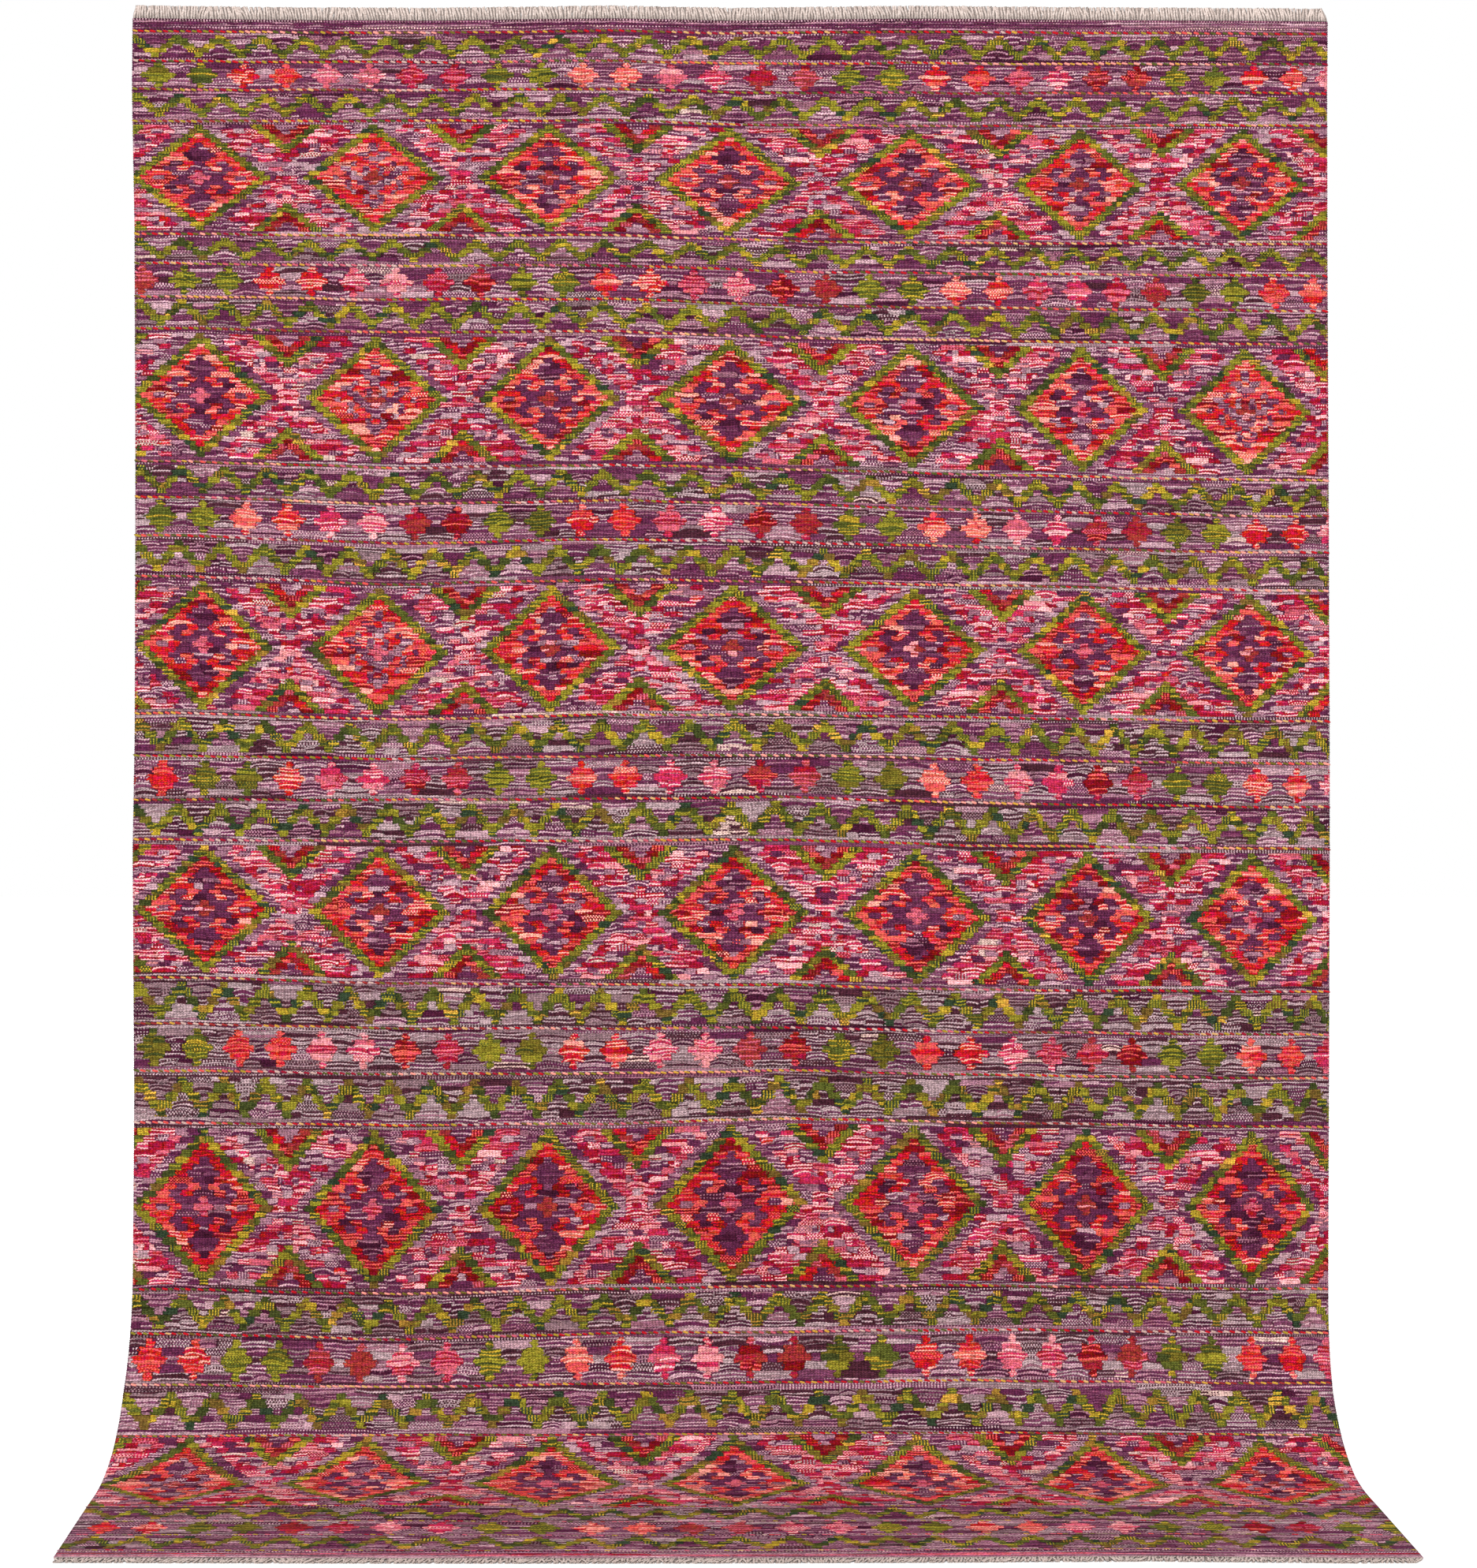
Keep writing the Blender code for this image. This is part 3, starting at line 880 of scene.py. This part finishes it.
def dyedWoolTapestry():
    # Hand-spun dyed wool, packed weft over hidden warp: matt and fleecy, each pass a row of small
    # beads 2.5 mm wide, with the uneven dye of small batches.
    made, tree, shader = newMaterial("dyedWoolTapestry", 0.92, 0.04)
    blockGrid = addNode(tree, "ShaderNodeUVMap", give=0, uv_map="blockGrid")
    surface = addNode(tree, "ShaderNodeUVMap", give=0, uv_map="surface")

    def held(name):
        # the three numbers that a face holds under this name
        return parts(addNode(tree, "ShaderNodeAttribute", give="Vector", attribute_name=name))

    def noise(name, detail=1.0):
        return softNoise(surface, wool[name], detail)

    def dice(*values):
        # a chance number that is the same wherever the values are
        return addNode(tree, "ShaderNodeTexWhiteNoise", {0: joined(*values)}, give=0,
                       noise_dimensions=f"{len(values)}D")

    def choose(share, first, second):
        return addNode(tree, "ShaderNodeMix", {0: share, 2: first, 3: second}, give=0)

    def hump(part, length):
        # a half wave over a length: 0 at both ends and 1 in the middle
        return maths("SINE", maths("MULTIPLY", part, math.pi / length))

    warps, picksDown = parts(blockGrid)[:2]
    ground, second, seed = held("blockYarn")
    orders, share, phase = held("blockWeave")
    span, picks, arch = held("blockSize")
    leftYarn, leftTop, leftFoot = held("blockLeft")
    rightYarn, rightTop, rightFoot = held("blockRight")

    # lines arch over a block, and wander a little as the beat was uneven
    away = maths("ADD", maths("DIVIDE", warps, span), -0.5)
    bow = maths("MULTIPLY_ADD", maths("MULTIPLY", away, away), -4.0, 1.0)
    lifted = maths("MULTIPLY_ADD", bow, arch, picksDown)
    uneven = maths("MULTIPLY_ADD", noise("beat"), wool["beatReach"], lifted)
    sway = maths("ADD", noise("sway"), -0.5)
    warps = maths("MAXIMUM", maths("MULTIPLY_ADD", sway, wool["swayReach"], warps), 0.0)
    pair = maths("MODULO", warps, 2.0)
    odd = maths("GREATER_THAN", pair, 1.0)
    height = maths("MULTIPLY_ADD", odd, wool["oddLift"], uneven)
    pick = maths("FLOOR", height)

    # the two yarns of a block take turns, or chance gives each line its yarn
    order = maths("MULTIPLY_ADD", pick, 2.0, odd)
    within = maths("FRACT", maths("ADD", maths("DIVIDE", order, orders), phase))
    melt = maths("ADD", noise("melt"), -0.5)
    within = maths("MULTIPLY_ADD", melt, wool["meltReach"], within)
    byChance = maths("LESS_THAN", orders, 0.0)
    within = choose(byChance, within, dice(pick, seed, phase))
    code = choose(maths("LESS_THAN", within, share), ground, second)

    # the yarns next door reach in or draw back from line to line, and slant with the pattern
    ragged = wool["raggedReach"]
    ragged = maths("MULTIPLY_ADD", dice(pick, seed), 2 * ragged, -ragged)
    down = maths("DIVIDE", picksDown, picks)
    nearTop = spread(down, 0.0, 0.5, 1.0, 0.0)
    nearFoot = spread(down, 0.5, 1.0, 0.0, 1.0)

    def edge(top, foot):
        return maths("MULTIPLY_ADD", nearFoot, foot, maths("MULTIPLY_ADD", nearTop, top, ragged))

    leftEdge = edge(leftTop, leftFoot)
    rightEdge = maths("ADD", edge(rightTop, rightFoot), span)
    warpColumn = maths("FLOOR", warps)
    midWarp = maths("ADD", warpColumn, 0.5)
    code = choose(maths("LESS_THAN", midWarp, leftEdge), code, leftYarn)
    code = choose(maths("GREATER_THAN", midWarp, rightEdge), code, rightYarn)

    # uneven dye: every bead a little its own, flecks along the yarn, and slow bands of a dye lot
    mixed = maths("MULTIPLY_ADD", dice(warpColumn, pick, seed), wool["beadTone"], noise("lot", 2.0))
    mixed = maths("MULTIPLY_ADD", noise("fleck", 2.0), wool["fleckTone"], mixed)
    tone = spread(mixed, *wool["tones"])

    # the part that lies on the floor is pressed flat: its painted rib shade fades, and fine streaks show
    # instead, partly its wear and partly painted light and shade of the flattened pile seen at a grazing
    # angle
    pressed = spread(parts(surface)[1], *wool["pressed"], 0.0, 1.0)
    streak = spread(noise("streak", 3.0), *wool["streaks"])
    streakShadeAndWear = maths("MULTIPLY_ADD", streak, pressed, 1.0)

    # the rounding of each bead, which also gives the bump, and painted shade from it: each bead darker
    # towards its edges and a little lighter on its top
    sides = spread(hump(maths("FRACT", warps), 1), *wool["beadSides"])
    rounded = maths("MULTIPLY", sides, hump(maths("FRACT", height), 1))
    # painted shade in the groove between each pair of warps, faded where the cloth lies pressed
    ribShade = choose(pressed, spread(hump(pair, 2), *wool["ribShades"]), 1.0)
    # painted shadow in the slits at a block's left and right sides
    toLeft = maths("ABSOLUTE", maths("SUBTRACT", warps, leftEdge))
    toRight = maths("ABSOLUTE", maths("SUBTRACT", rightEdge, warps))
    jointShade = spread(maths("MINIMUM", toLeft, toRight), *wool["joints"])
    # painted shade along the seams at the top and foot of each row
    toFoot = maths("SUBTRACT", picks, picksDown)
    seamShade = spread(maths("MINIMUM", picksDown, toFoot), *wool["seamShades"])
    shade = tone
    for darker in (spread(rounded, *wool["grooveShades"]), ribShade, streakShadeAndWear, jointShade, seamShade):
        shade = maths("MULTIPLY", shade, darker)

    # the dye's hue wanders too, by a few degrees
    hue = spread(noise("hue"), *wool["hues"])
    colour = yarnColour(code)
    worn = addNode(tree, "ShaderNodeHueSaturation", {"Hue": hue, "Color": colour, "Value": shade}, give=0)
    giveLooks(shader, rounded, *wool["bump"], worn)
    return made


cloth = wovenCloth()
cloth.data.materials.append(dyedWoolTapestry())
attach(cloth, "root")
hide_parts("woven_cloth")


def shaded(colour, tone):
    return addNode(treeOf(colour), "ShaderNodeVectorMath", {0: colour, "Scale": tone}, give=0,
                   operation="SCALE")


def pliedWoolTwining():
    # plied wool, thick and round: fibres wound along it, each stitch its own colour
    made, tree, shader = newMaterial("pliedWoolTwining", 0.9, 0.1)
    code = addNode(tree, "ShaderNodeAttribute", give="Fac", attribute_name="yarn")
    spot = addNode(tree, "ShaderNodeTexCoord", give="Object")
    fibre = softNoise(spot, twining["fibre"], 2.0)
    worn = shaded(yarnColour(code), spread(fibre, *twining["fibreTones"]))
    giveLooks(shader, fibre, *twining["bump"], worn)
    return made


def newTree(name, inputs):
    # a node tree with inputs of these names and kinds, and the sockets that give them
    tree = bpy.data.node_groups.new(name, "GeometryNodeTree")
    for socket, kind in inputs.items():
        tree.interface.new_socket(socket, in_out="INPUT", socket_type="NodeSocket" + kind)
    tree.interface.new_socket("Result", in_out="OUTPUT", socket_type="NodeSocketGeometry")
    return tree, addNode(tree, "NodeGroupInput").outputs


def endTree(tree, geometry, material):
    real = addNode(tree, "GeometryNodeRealizeInstances", {"Geometry": geometry}, give=0)
    smooth = addNode(tree, "GeometryNodeSetShadeSmooth", {"Geometry": real}, give=0)
    finished = addNode(tree, "GeometryNodeSetMaterial", {"Geometry": smooth, "Material": material}, give=0)
    addNode(tree, "NodeGroupOutput", {"Result": finished})
    return tree


def stitchTree():
    # one small oval of yarn on every point, leant as the cloth is there
    tree, given = newTree("yarnStitches", {
        "Points": "Geometry", "Size": "Vector", "Slant": "Float", "Yarn": "Material",
    })

    def turned(geometry, **change):
        return addNode(tree, "GeometryNodeTransform", {"Geometry": geometry, **change}, give="Geometry")

    def held(name, kind):
        return addNode(tree, "GeometryNodeInputNamedAttribute", {"Name": name}, give=0, data_type=kind)

    oval = addNode(tree, "GeometryNodeMeshUVSphere", {"Segments": 6, "Rings": 3, "Radius": 0.5}, give="Mesh")
    sized = turned(turned(oval, Rotation=(0, math.pi / 2, 0)), Scale=given["Size"])
    slanted = turned(sized, Rotation=joined(y=given["Slant"]))
    placed = addNode(tree, "GeometryNodeInstanceOnPoints", {
        "Points": given["Points"], "Instance": slanted,
        "Rotation": joined(x=held("lean", "FLOAT")), "Scale": held("grow", "FLOAT_VECTOR"),
    }, give=0)
    return endTree(tree, placed, given["Yarn"])


def grown(name, source, tree, values):
    # runs a node tree on a mesh and keeps the result as a plain mesh object
    holder = bpy.data.objects.new(name, source)
    bpy.context.scene.collection.objects.link(holder)
    modifier = holder.modifiers.new("grow", "NODES")
    modifier.node_group = tree
    for item in tree.interface.items_tree:
        if item.item_type == "SOCKET" and item.in_out == "INPUT" and item.name in values:
            modifier[item.identifier] = values[item.name]
    depsgraph = bpy.context.evaluated_depsgraph_get()
    result = bpy.data.meshes.new_from_object(holder.evaluated_get(depsgraph), depsgraph=depsgraph)
    holder.modifiers.remove(modifier)
    holder.data = result
    result.name = name
    return holder


def meshPoints(mesh):
    points = np.empty(len(mesh.vertices) * 3, np.float32)
    mesh.vertices.foreach_get("co", points)
    return points.reshape(-1, 3)


def bakeSpots(piece, perStitch, places, cell):
    # every stitch gets its own small place in the bake layout, at (u, v) of its middle
    points = meshPoints(piece.data).reshape(-1, perStitch, 3)
    local = points - points.mean(axis=1, keepdims=True)
    reach = np.abs(local).max(axis=(0, 1)) + 1e-9
    # across by x, and up by the sum of the other two, which is enough for so small a thing
    u = places[:, None, 0] + cell[0] * 0.4 * local[..., 0] / reach[0]
    v = places[:, None, 1] + cell[1] * 0.4 * (local[..., 1] + local[..., 2]) / (reach[1] + reach[2])
    addLayout(piece.data, "OFBake", u.ravel(), v.ravel())


def sewn(name, turns, size, slant, cell):
    # a piece of yarn stitches. A turn is a stitch's spot, lean, yarn, growth and bake place.
    spots, leans, codes, growths, places = (np.array(column) for column in zip(*turns))
    points = bpy.data.meshes.new(name)
    points.from_pydata(spots.tolist(), [], [])
    for attribute, values in (("lean", leans), ("yarn", codes), ("grow", growths)):
        addNumbers(points, attribute, "POINT", values)
    piece = grown(name, points, yarnStitch, {"Size": size, "Slant": slant, "Yarn": woolPly})
    bakeSpots(piece, len(piece.data.vertices) // len(turns), places, cell)
    return piece


twining = {
    "pitch": 0.0098,
    "size": (0.0140, 0.0062, 0.0062),
    "slant": math.radians(15),
    "flatFrom": 2.50,  # along: from here to where the cloth lies flat, it is pressed thinner
    "flatTo": 2.62,
    "thinnest": 0.62,  # of its thickness where the cloth lies on the floor
    "warm": ["red", "crimson", "coral", "rose", "brick", "red", "peach"],
    "cool": ["gold", "straw", "yellowOlive", "olive", "lime", "moss", "gold", "green", "ecruPink"],
    "dull": ["heather", "greyBrown", "mauve", "yellowOlive", "rose", "greyMauve"],  # on the floor
    "warmChange": 0.12,  # how often, from stitch to stitch, the warm yarn changes
    "coolChange": 0.16,
    "dulled": 0.85,  # the share of dull stitches where the cloth lies on the floor
    "lift": 0.0005,  # there, towards the shown side
    "apart": 0.12,  # how far a stitch strays along its line, as a share of the pitch
    "lengths": (0.85, 1.1),  # of a stitch, as a share of its size
    "heights": (0.8, 1.1),
    "fibre": (3.33, 1.111, 1.111),  # mm, coarser than real wool fibres, so that they show
    "fibreTones": (0.3, 0.7, 0.6, 1.2),
    "bump": (0.6, 0.0005),
}
yarnStitch = stitchTree()
woolPly = pliedWoolTwining()


def twinedStitches():
    turns = []
    count = int(hang["width"] / twining["pitch"])
    for line, along in enumerate(twinedLines):
        warm, cool = chance.choice(twining["warm"]), chance.choice(twining["cool"])
        for step in range(count):
            across = (step + 0.5 + chance.uniform(-twining["apart"], twining["apart"])) / count
            if chance.random() < twining["warmChange"]:
                warm = chance.choice(twining["warm"])
            if chance.random() < twining["coolChange"]:
                cool = chance.choice(twining["cool"])
            here = float(bowed(across, along))
            lying = (here - twining["flatFrom"]) / (twining["flatTo"] - twining["flatFrom"])
            lying = min(1.0, max(0.0, lying))
            yarn = warm if step % 2 else cool
            if chance.random() < twining["dulled"] * lying:
                yarn = chance.choice(twining["dull"])
            length = chance.uniform(*twining["lengths"])
            thin = 1 + lying * (twining["thinnest"] - 1)
            growth = (length, thin, chance.uniform(*twining["heights"]))
            turns.append((
                clothSpot(across, here, twining["lift"] * lying), clothLean(here), yarnCode(yarn), growth,
                (inLayout((step + 0.5) / count), (line + 0.5) / len(twinedLines)),
            ))
    print("lines twined:", len(turns), "stitches")
    return sewn("twinedLines", turns, twining["size"], twining["slant"], (1 / count, 1 / len(twinedLines)))


selvedge = {
    "pitch": 0.0038,
    "size": (0.0052, 0.0042, 0.0036),
    "slant": math.radians(8),
    "across": (0.0007, 0.9993),
    "apart": 0.15,
    "sizes": (0.88, 1.1),
    "second": 0.3,  # the share of turns in its block's second yarn
    "thinnest": 0.71,  # of its thickness where the cloth lies on the floor
    "columns": 8,  # of each selvedge in the bake layout
}


def selvedgeWraps():
    turns = []
    count = int(wovenLength / selvedge["pitch"])
    tops = np.array([row["top"] for row in rows])
    columns = 2 * selvedge["columns"]
    perColumn = math.ceil(count / selvedge["columns"])
    for side, across in enumerate(selvedge["across"]):
        for step in range(count):
            stray = chance.uniform(-selvedge["apart"], selvedge["apart"])
            along = (step + 0.5 + stray) * wovenLength / count
            block = rows[int(np.searchsorted(tops, along)) - 1]["blocks"][-side]
            code = yarnCode(block["second" if chance.random() < selvedge["second"] else "ground"])
            lean = float(clothLean(along))
            grow = chance.uniform(*selvedge["sizes"])
            thin = 1 + (lean / (math.pi / 2)) ** 2 * (selvedge["thinnest"] - 1)
            column = step // perColumn + side * selvedge["columns"]
            turns.append((
                clothSpot(across, along), lean, code, (grow, thin, grow),
                ((column + 0.5) / columns, (step % perColumn + 0.5) / perColumn),
            ))
    print("selvedges wrapped:", len(turns), "turns")
    return sewn("selvedges", turns, selvedge["size"], selvedge["slant"], (1 / columns, 1 / perColumn))


lines = twinedStitches()
edges = selvedgeWraps()
for piece in (lines, edges):
    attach(piece, "root")


fringe = {
    "strands": 880,  # in two layers, half of them behind
    "length": 0.0212,
    "radius": 0.0021,
    "layers": 0.0007,  # how far the two layers lie from the middle
    "topDepth": 0.37,  # a strand's thickness over its width
    "footDepth": 0.34,
    "gap": 0.0003,
    "inset": 0.0026,  # from the cloth's sides to the outermost strands
    "sides": 6,  # of a strand's round
    "lengths": (0.95, 1.03),  # of a strand, as a share
    "tip": 0.78,  # its width there, as a share of its root's
    "points": 6,  # along a strand
    "driftLength": 71,  # mm, of the slow wave by which neighbours lean together
    "drift": (0.3, 0.7, -2.2, 0.8),  # that wave's range, and the lean that it gives
    "ownLean": 0.55,
    "cornerLean": -2.2,  # of the outermost strands, inwards
    "cornerPower": 61,
    "leanPower": 1.4,  # a strand leans more towards its tip
    "curlTurn": 5.2,  # radians of its wave
    "fibre": 2.38,  # mm
    "fibreStops": ((0.3, "#A6948B"), (0.7, "#DFCFC7")),
    "bump": (0.5, 0.0005),
    # painted shade, darker towards the root where the strands meet the cloth
    "rootShades": (0.0, 0.45, 0.62, 1.0),  # from these two shares of its length to those two tones
    "ownTone": 0.10,  # how far a strand's tone strays from its neighbours'
    # painted light and shade across a strand: the tone of its middle, and how much darker its sides are
    "faceLight": 1.08,
    "sideShade": 0.55,
    "innerShade": 0.60,  # where it faces the other layer
    "lean": 0.0040,  # how far a strand's end leans, and how far it curls, at the top and the foot
    "footLean": 0.0062,
    "curl": 0.0012,
    "footCurl": 0.0030,
}


def fringeTree():
    # cut warp ends, laid flat: x across, y out from the woven edge, z the cloth's thickness
    tree, given = newTree("cutWarpEnds", {
        "Roots": "Geometry", "Length": "Float", "Radius": "Float", "Depth": "Float", "Lean": "Float",
        "Curl": "Float", "Half Width": "Float", "Seed": "Int", "Yarn": "Material",
    })
    # of each strand's own: its lean and its curl, -1 to 1, and its length
    own = addNode(tree, "FunctionNodeRandomValue", {
        0: (-1, -1, fringe["lengths"][0]), 1: (1, 1, fringe["lengths"][1]), "Seed": given["Seed"],
    }, give=0, data_type="FLOAT_VECTOR")
    rooted = addNode(tree, "GeometryNodeStoreNamedAttribute", {
        "Geometry": given["Roots"], "Name": "strand", "Value": own,
    }, give=0, data_type="FLOAT_VECTOR", domain="POINT")
    straight = addNode(tree, "GeometryNodeCurvePrimitiveLine", {
        "Start": (0, 0, 0), "End": joined(y=given["Length"]),
    }, give=0)
    stepped = addNode(tree, "GeometryNodeResampleCurve", {
        "Curve": straight, "Count": fringe["points"],
    }, give=0)
    placed = addNode(tree, "GeometryNodeInstanceOnPoints", {"Points": rooted, "Instance": stepped}, give=0)
    real = addNode(tree, "GeometryNodeRealizeInstances", {"Geometry": placed}, give=0)

    x, y = parts(addNode(tree, "GeometryNodeInputPosition", give=0))[:2]
    ownLean, ownCurl, ownLength = parts(addNode(tree, "GeometryNodeInputNamedAttribute", {"Name": "strand"},
                                                give=0, data_type="FLOAT_VECTOR"))
    out = maths("DIVIDE", y, given["Length"])
    # neighbours lean together, by a slow wave along the edge, with a little of their own
    drift = addNode(tree, "ShaderNodeTexNoise", {
        "W": x, "Scale": round(1000 / fringe["driftLength"]), "Detail": 2.0,
    }, give=0, noise_dimensions="1D")
    together = maths("MULTIPLY_ADD", ownLean, fringe["ownLean"], spread(drift, *fringe["drift"]))
    corner = maths("POWER", maths("DIVIDE", x, given["Half Width"]), fringe["cornerPower"])
    together = maths("MULTIPLY_ADD", corner, fringe["cornerLean"], together)
    lean = maths("MULTIPLY", together, given["Lean"])
    leaning = maths("MULTIPLY", maths("POWER", out, fringe["leanPower"]), lean)
    wave = maths("MULTIPLY", maths("SINE", maths("MULTIPLY", out, fringe["curlTurn"])), given["Curl"])
    sway = maths("MULTIPLY_ADD", wave, ownCurl, leaning)
    longer = maths("MULTIPLY", maths("ADD", ownLength, -1.0), y)
    bent = addNode(tree, "GeometryNodeSetPosition", {
        "Geometry": real, "Offset": joined(sway, longer),
    }, give=0)
    width = spread(out, 0.0, 1.0, 1.0, fringe["tip"])
    tapered = addNode(tree, "GeometryNodeSetCurveRadius", {"Curve": bent, "Radius": width}, give=0)
    ring = addNode(tree, "GeometryNodeCurvePrimitiveCircle", {
        "Resolution": fringe["sides"], "Radius": given["Radius"],
    }, give=0, mode="RADIUS")
    tube = addNode(tree, "GeometryNodeCurveToMesh", {
        "Curve": tapered, "Profile Curve": ring, "Fill Caps": True,
    }, give=0)
    flat = addNode(tree, "GeometryNodeTransform", {
        "Geometry": tube, "Scale": joined(1.0, 1.0, given["Depth"]),
    }, give="Geometry")
    return endTree(tree, flat, given["Yarn"])


def undyedWarpYarn():
    # undyed plied warp yarn: pale and dull, frayed at its cut end, with the shade of its twist, and
    # painted shade towards its root, at its sides and where it faces the other layer
    made, tree, shader = newMaterial("undyedWarpYarn", 0.9, 0.25)
    shade, out = parts(addNode(tree, "ShaderNodeUVMap", give=0, uv_map="strandShadeAndLength"))[:2]
    ownTone = parts(addNode(tree, "ShaderNodeAttribute", give="Vector", attribute_name="strand"))[0]
    spot = addNode(tree, "ShaderNodeTexCoord", give="Object")
    fibre = softNoise(spot, [fringe["fibre"]] * 3, 3.0)
    ramp = addNode(tree, "ShaderNodeValToRGB", {0: fibre})
    for stop, (position, colour) in zip(ramp.color_ramp.elements, fringe["fibreStops"]):
        stop.position = position
        stop.color = linearColour(colour)
    # painted shade: darker towards the strand's root
    root = spread(out, *fringe["rootShades"])
    tone = maths("MULTIPLY", maths("MULTIPLY_ADD", ownTone, fringe["ownTone"], root), shade)
    giveLooks(shader, fibre, *fringe["bump"], shaded(ramp.outputs[0], tone))
    return made


warpYarn = undyedWarpYarn()
endsTree = fringeTree()


def warpEnds(name, along, out, depth, lean, curl, lift, seed):
    reach = hang["width"] / 2
    places = np.linspace(-reach + fringe["inset"], reach - fringe["inset"], fringe["strands"])
    layers = fringe["layers"] / depth * np.where(np.arange(len(places)) % 2, 1, -1)
    roots = bpy.data.meshes.new(name)
    roots.from_pydata([(x, 0.0, z) for x, z in zip(places, layers)], [], [])
    piece = grown(name, roots, endsTree, {
        "Length": fringe["length"], "Radius": fringe["radius"], "Depth": depth, "Lean": lean,
        "Curl": curl, "Half Width": reach, "Seed": seed, "Yarn": warpYarn,
    })
    mesh = piece.data
    points = meshPoints(mesh).astype(float)
    across = np.clip(points[:, 0] / hang["width"] + 0.5, 0, 1)
    placed = clothSpot(across, np.full(len(points), along))
    for axis, direction in zip((1, 2), out):
        # one of the two axes points out from the edge, and the other is the cloth's thickness
        placed[:, axis] += direction * (points[:, 1] + fringe["gap"]) if direction else points[:, 2]
    placed[:, 2] += lift
    mesh.vertices.foreach_set("co", placed.ravel())
    # painted shade in the gaps, where the strands shade one another: a strand is darker at its sides,
    # and where it faces the other layer
    rings = points.reshape(-1, fringe["sides"], 3)
    middle = rings.mean(axis=1, keepdims=True)
    side = np.abs(rings[:, :, 0] - middle[:, :, 0]) / fringe["radius"]
    outward = (rings[:, :, 2] - middle[:, :, 2]) * np.sign(middle[:, :, 2]) > -0.0001
    shade = fringe["faceLight"] - fringe["sideShade"] * side ** 2
    shade = (shade * np.where(outward, 1.0, fringe["innerShade"])).ravel()
    share = np.clip(points[:, 1] / fringe["length"], 0, 1)
    addLayout(mesh, "strandShadeAndLength", shade, share)
    addLayout(mesh, "OFBake", across, share)
    mesh.update()
    return piece


footLift = fringe["radius"] * fringe["footDepth"] + fringe["layers"] - hang["thickness"] / 2
topEnds = warpEnds("topWarpEnds", 0.0, (0.0, 1.0), fringe["topDepth"], fringe["lean"], fringe["curl"], 0.0, 3)
footEnds = warpEnds("footWarpEnds", wovenLength, (-1.0, 0.0), fringe["footDepth"], fringe["footLean"],
                    fringe["footCurl"], footLift, 8)
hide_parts("top_fringe")
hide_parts("foot_fringe")
for piece in (topEnds, footEnds):
    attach(piece, "root")
print("fringes cut:", 2 * fringe["strands"], "ends")


studio = {
    "floorReach": 14.0,
    "floorTone": "#FDFDFD",
    "mottle": 16.7,  # mm
    "skyStrength": 1.0,
    "keyStrength": 1.9,
    "keyAim": (0.12, 0.76, -0.64),  # from above and in front, so that its shadow stays behind the rug
    "keySpread": 12.0,  # degrees
}


def paintedFloor():
    # matt white studio paint: nearly white, with the faintest mottling of a roller
    made, tree, shader = newMaterial("mattStudioPaint", 0.8, 0.2)
    spot = addNode(tree, "ShaderNodeTexCoord", give="Object")
    giveLooks(shader, softNoise(spot, [studio["mottle"]] * 3, 2.0), 0.05, 0.001)
    shader.inputs["Base Color"].default_value = linearColour(studio["floorTone"])
    return made


floorMesh = bpy.data.meshes.new("studioFloor")
reach = studio["floorReach"]
level = -hang["topHeight"] - 0.0002
floorMesh.from_pydata([(-reach, -reach, level), (reach, -reach, level), (reach, reach, level),
                       (-reach, reach, level)], [], [(0, 1, 2, 3)])
floor = bpy.data.objects.new("studioFloor", floorMesh)
bpy.context.scene.collection.objects.link(floor)
floorMesh.materials.append(paintedFloor())

world = bpy.data.worlds.new("studioSky")
world.use_nodes = True
background = world.node_tree.nodes["Background"]
background.inputs["Color"].default_value = (1.0, 1.0, 1.0, 1.0)
background.inputs["Strength"].default_value = studio["skyStrength"]
bpy.context.scene.world = world


key = bpy.data.lights.new("keyLight", "SUN")
key.energy = studio["keyStrength"]
key.angle = math.radians(studio["keySpread"])
keyHolder = bpy.data.objects.new("keyLight", key)
aim = studio["keyAim"]
keyHolder.rotation_euler = (
    math.atan2(math.hypot(aim[0], aim[1]), -aim[2]), 0.0, math.atan2(-aim[0], aim[1]),
)
bpy.context.scene.collection.objects.link(keyHolder)
print("studio lit")
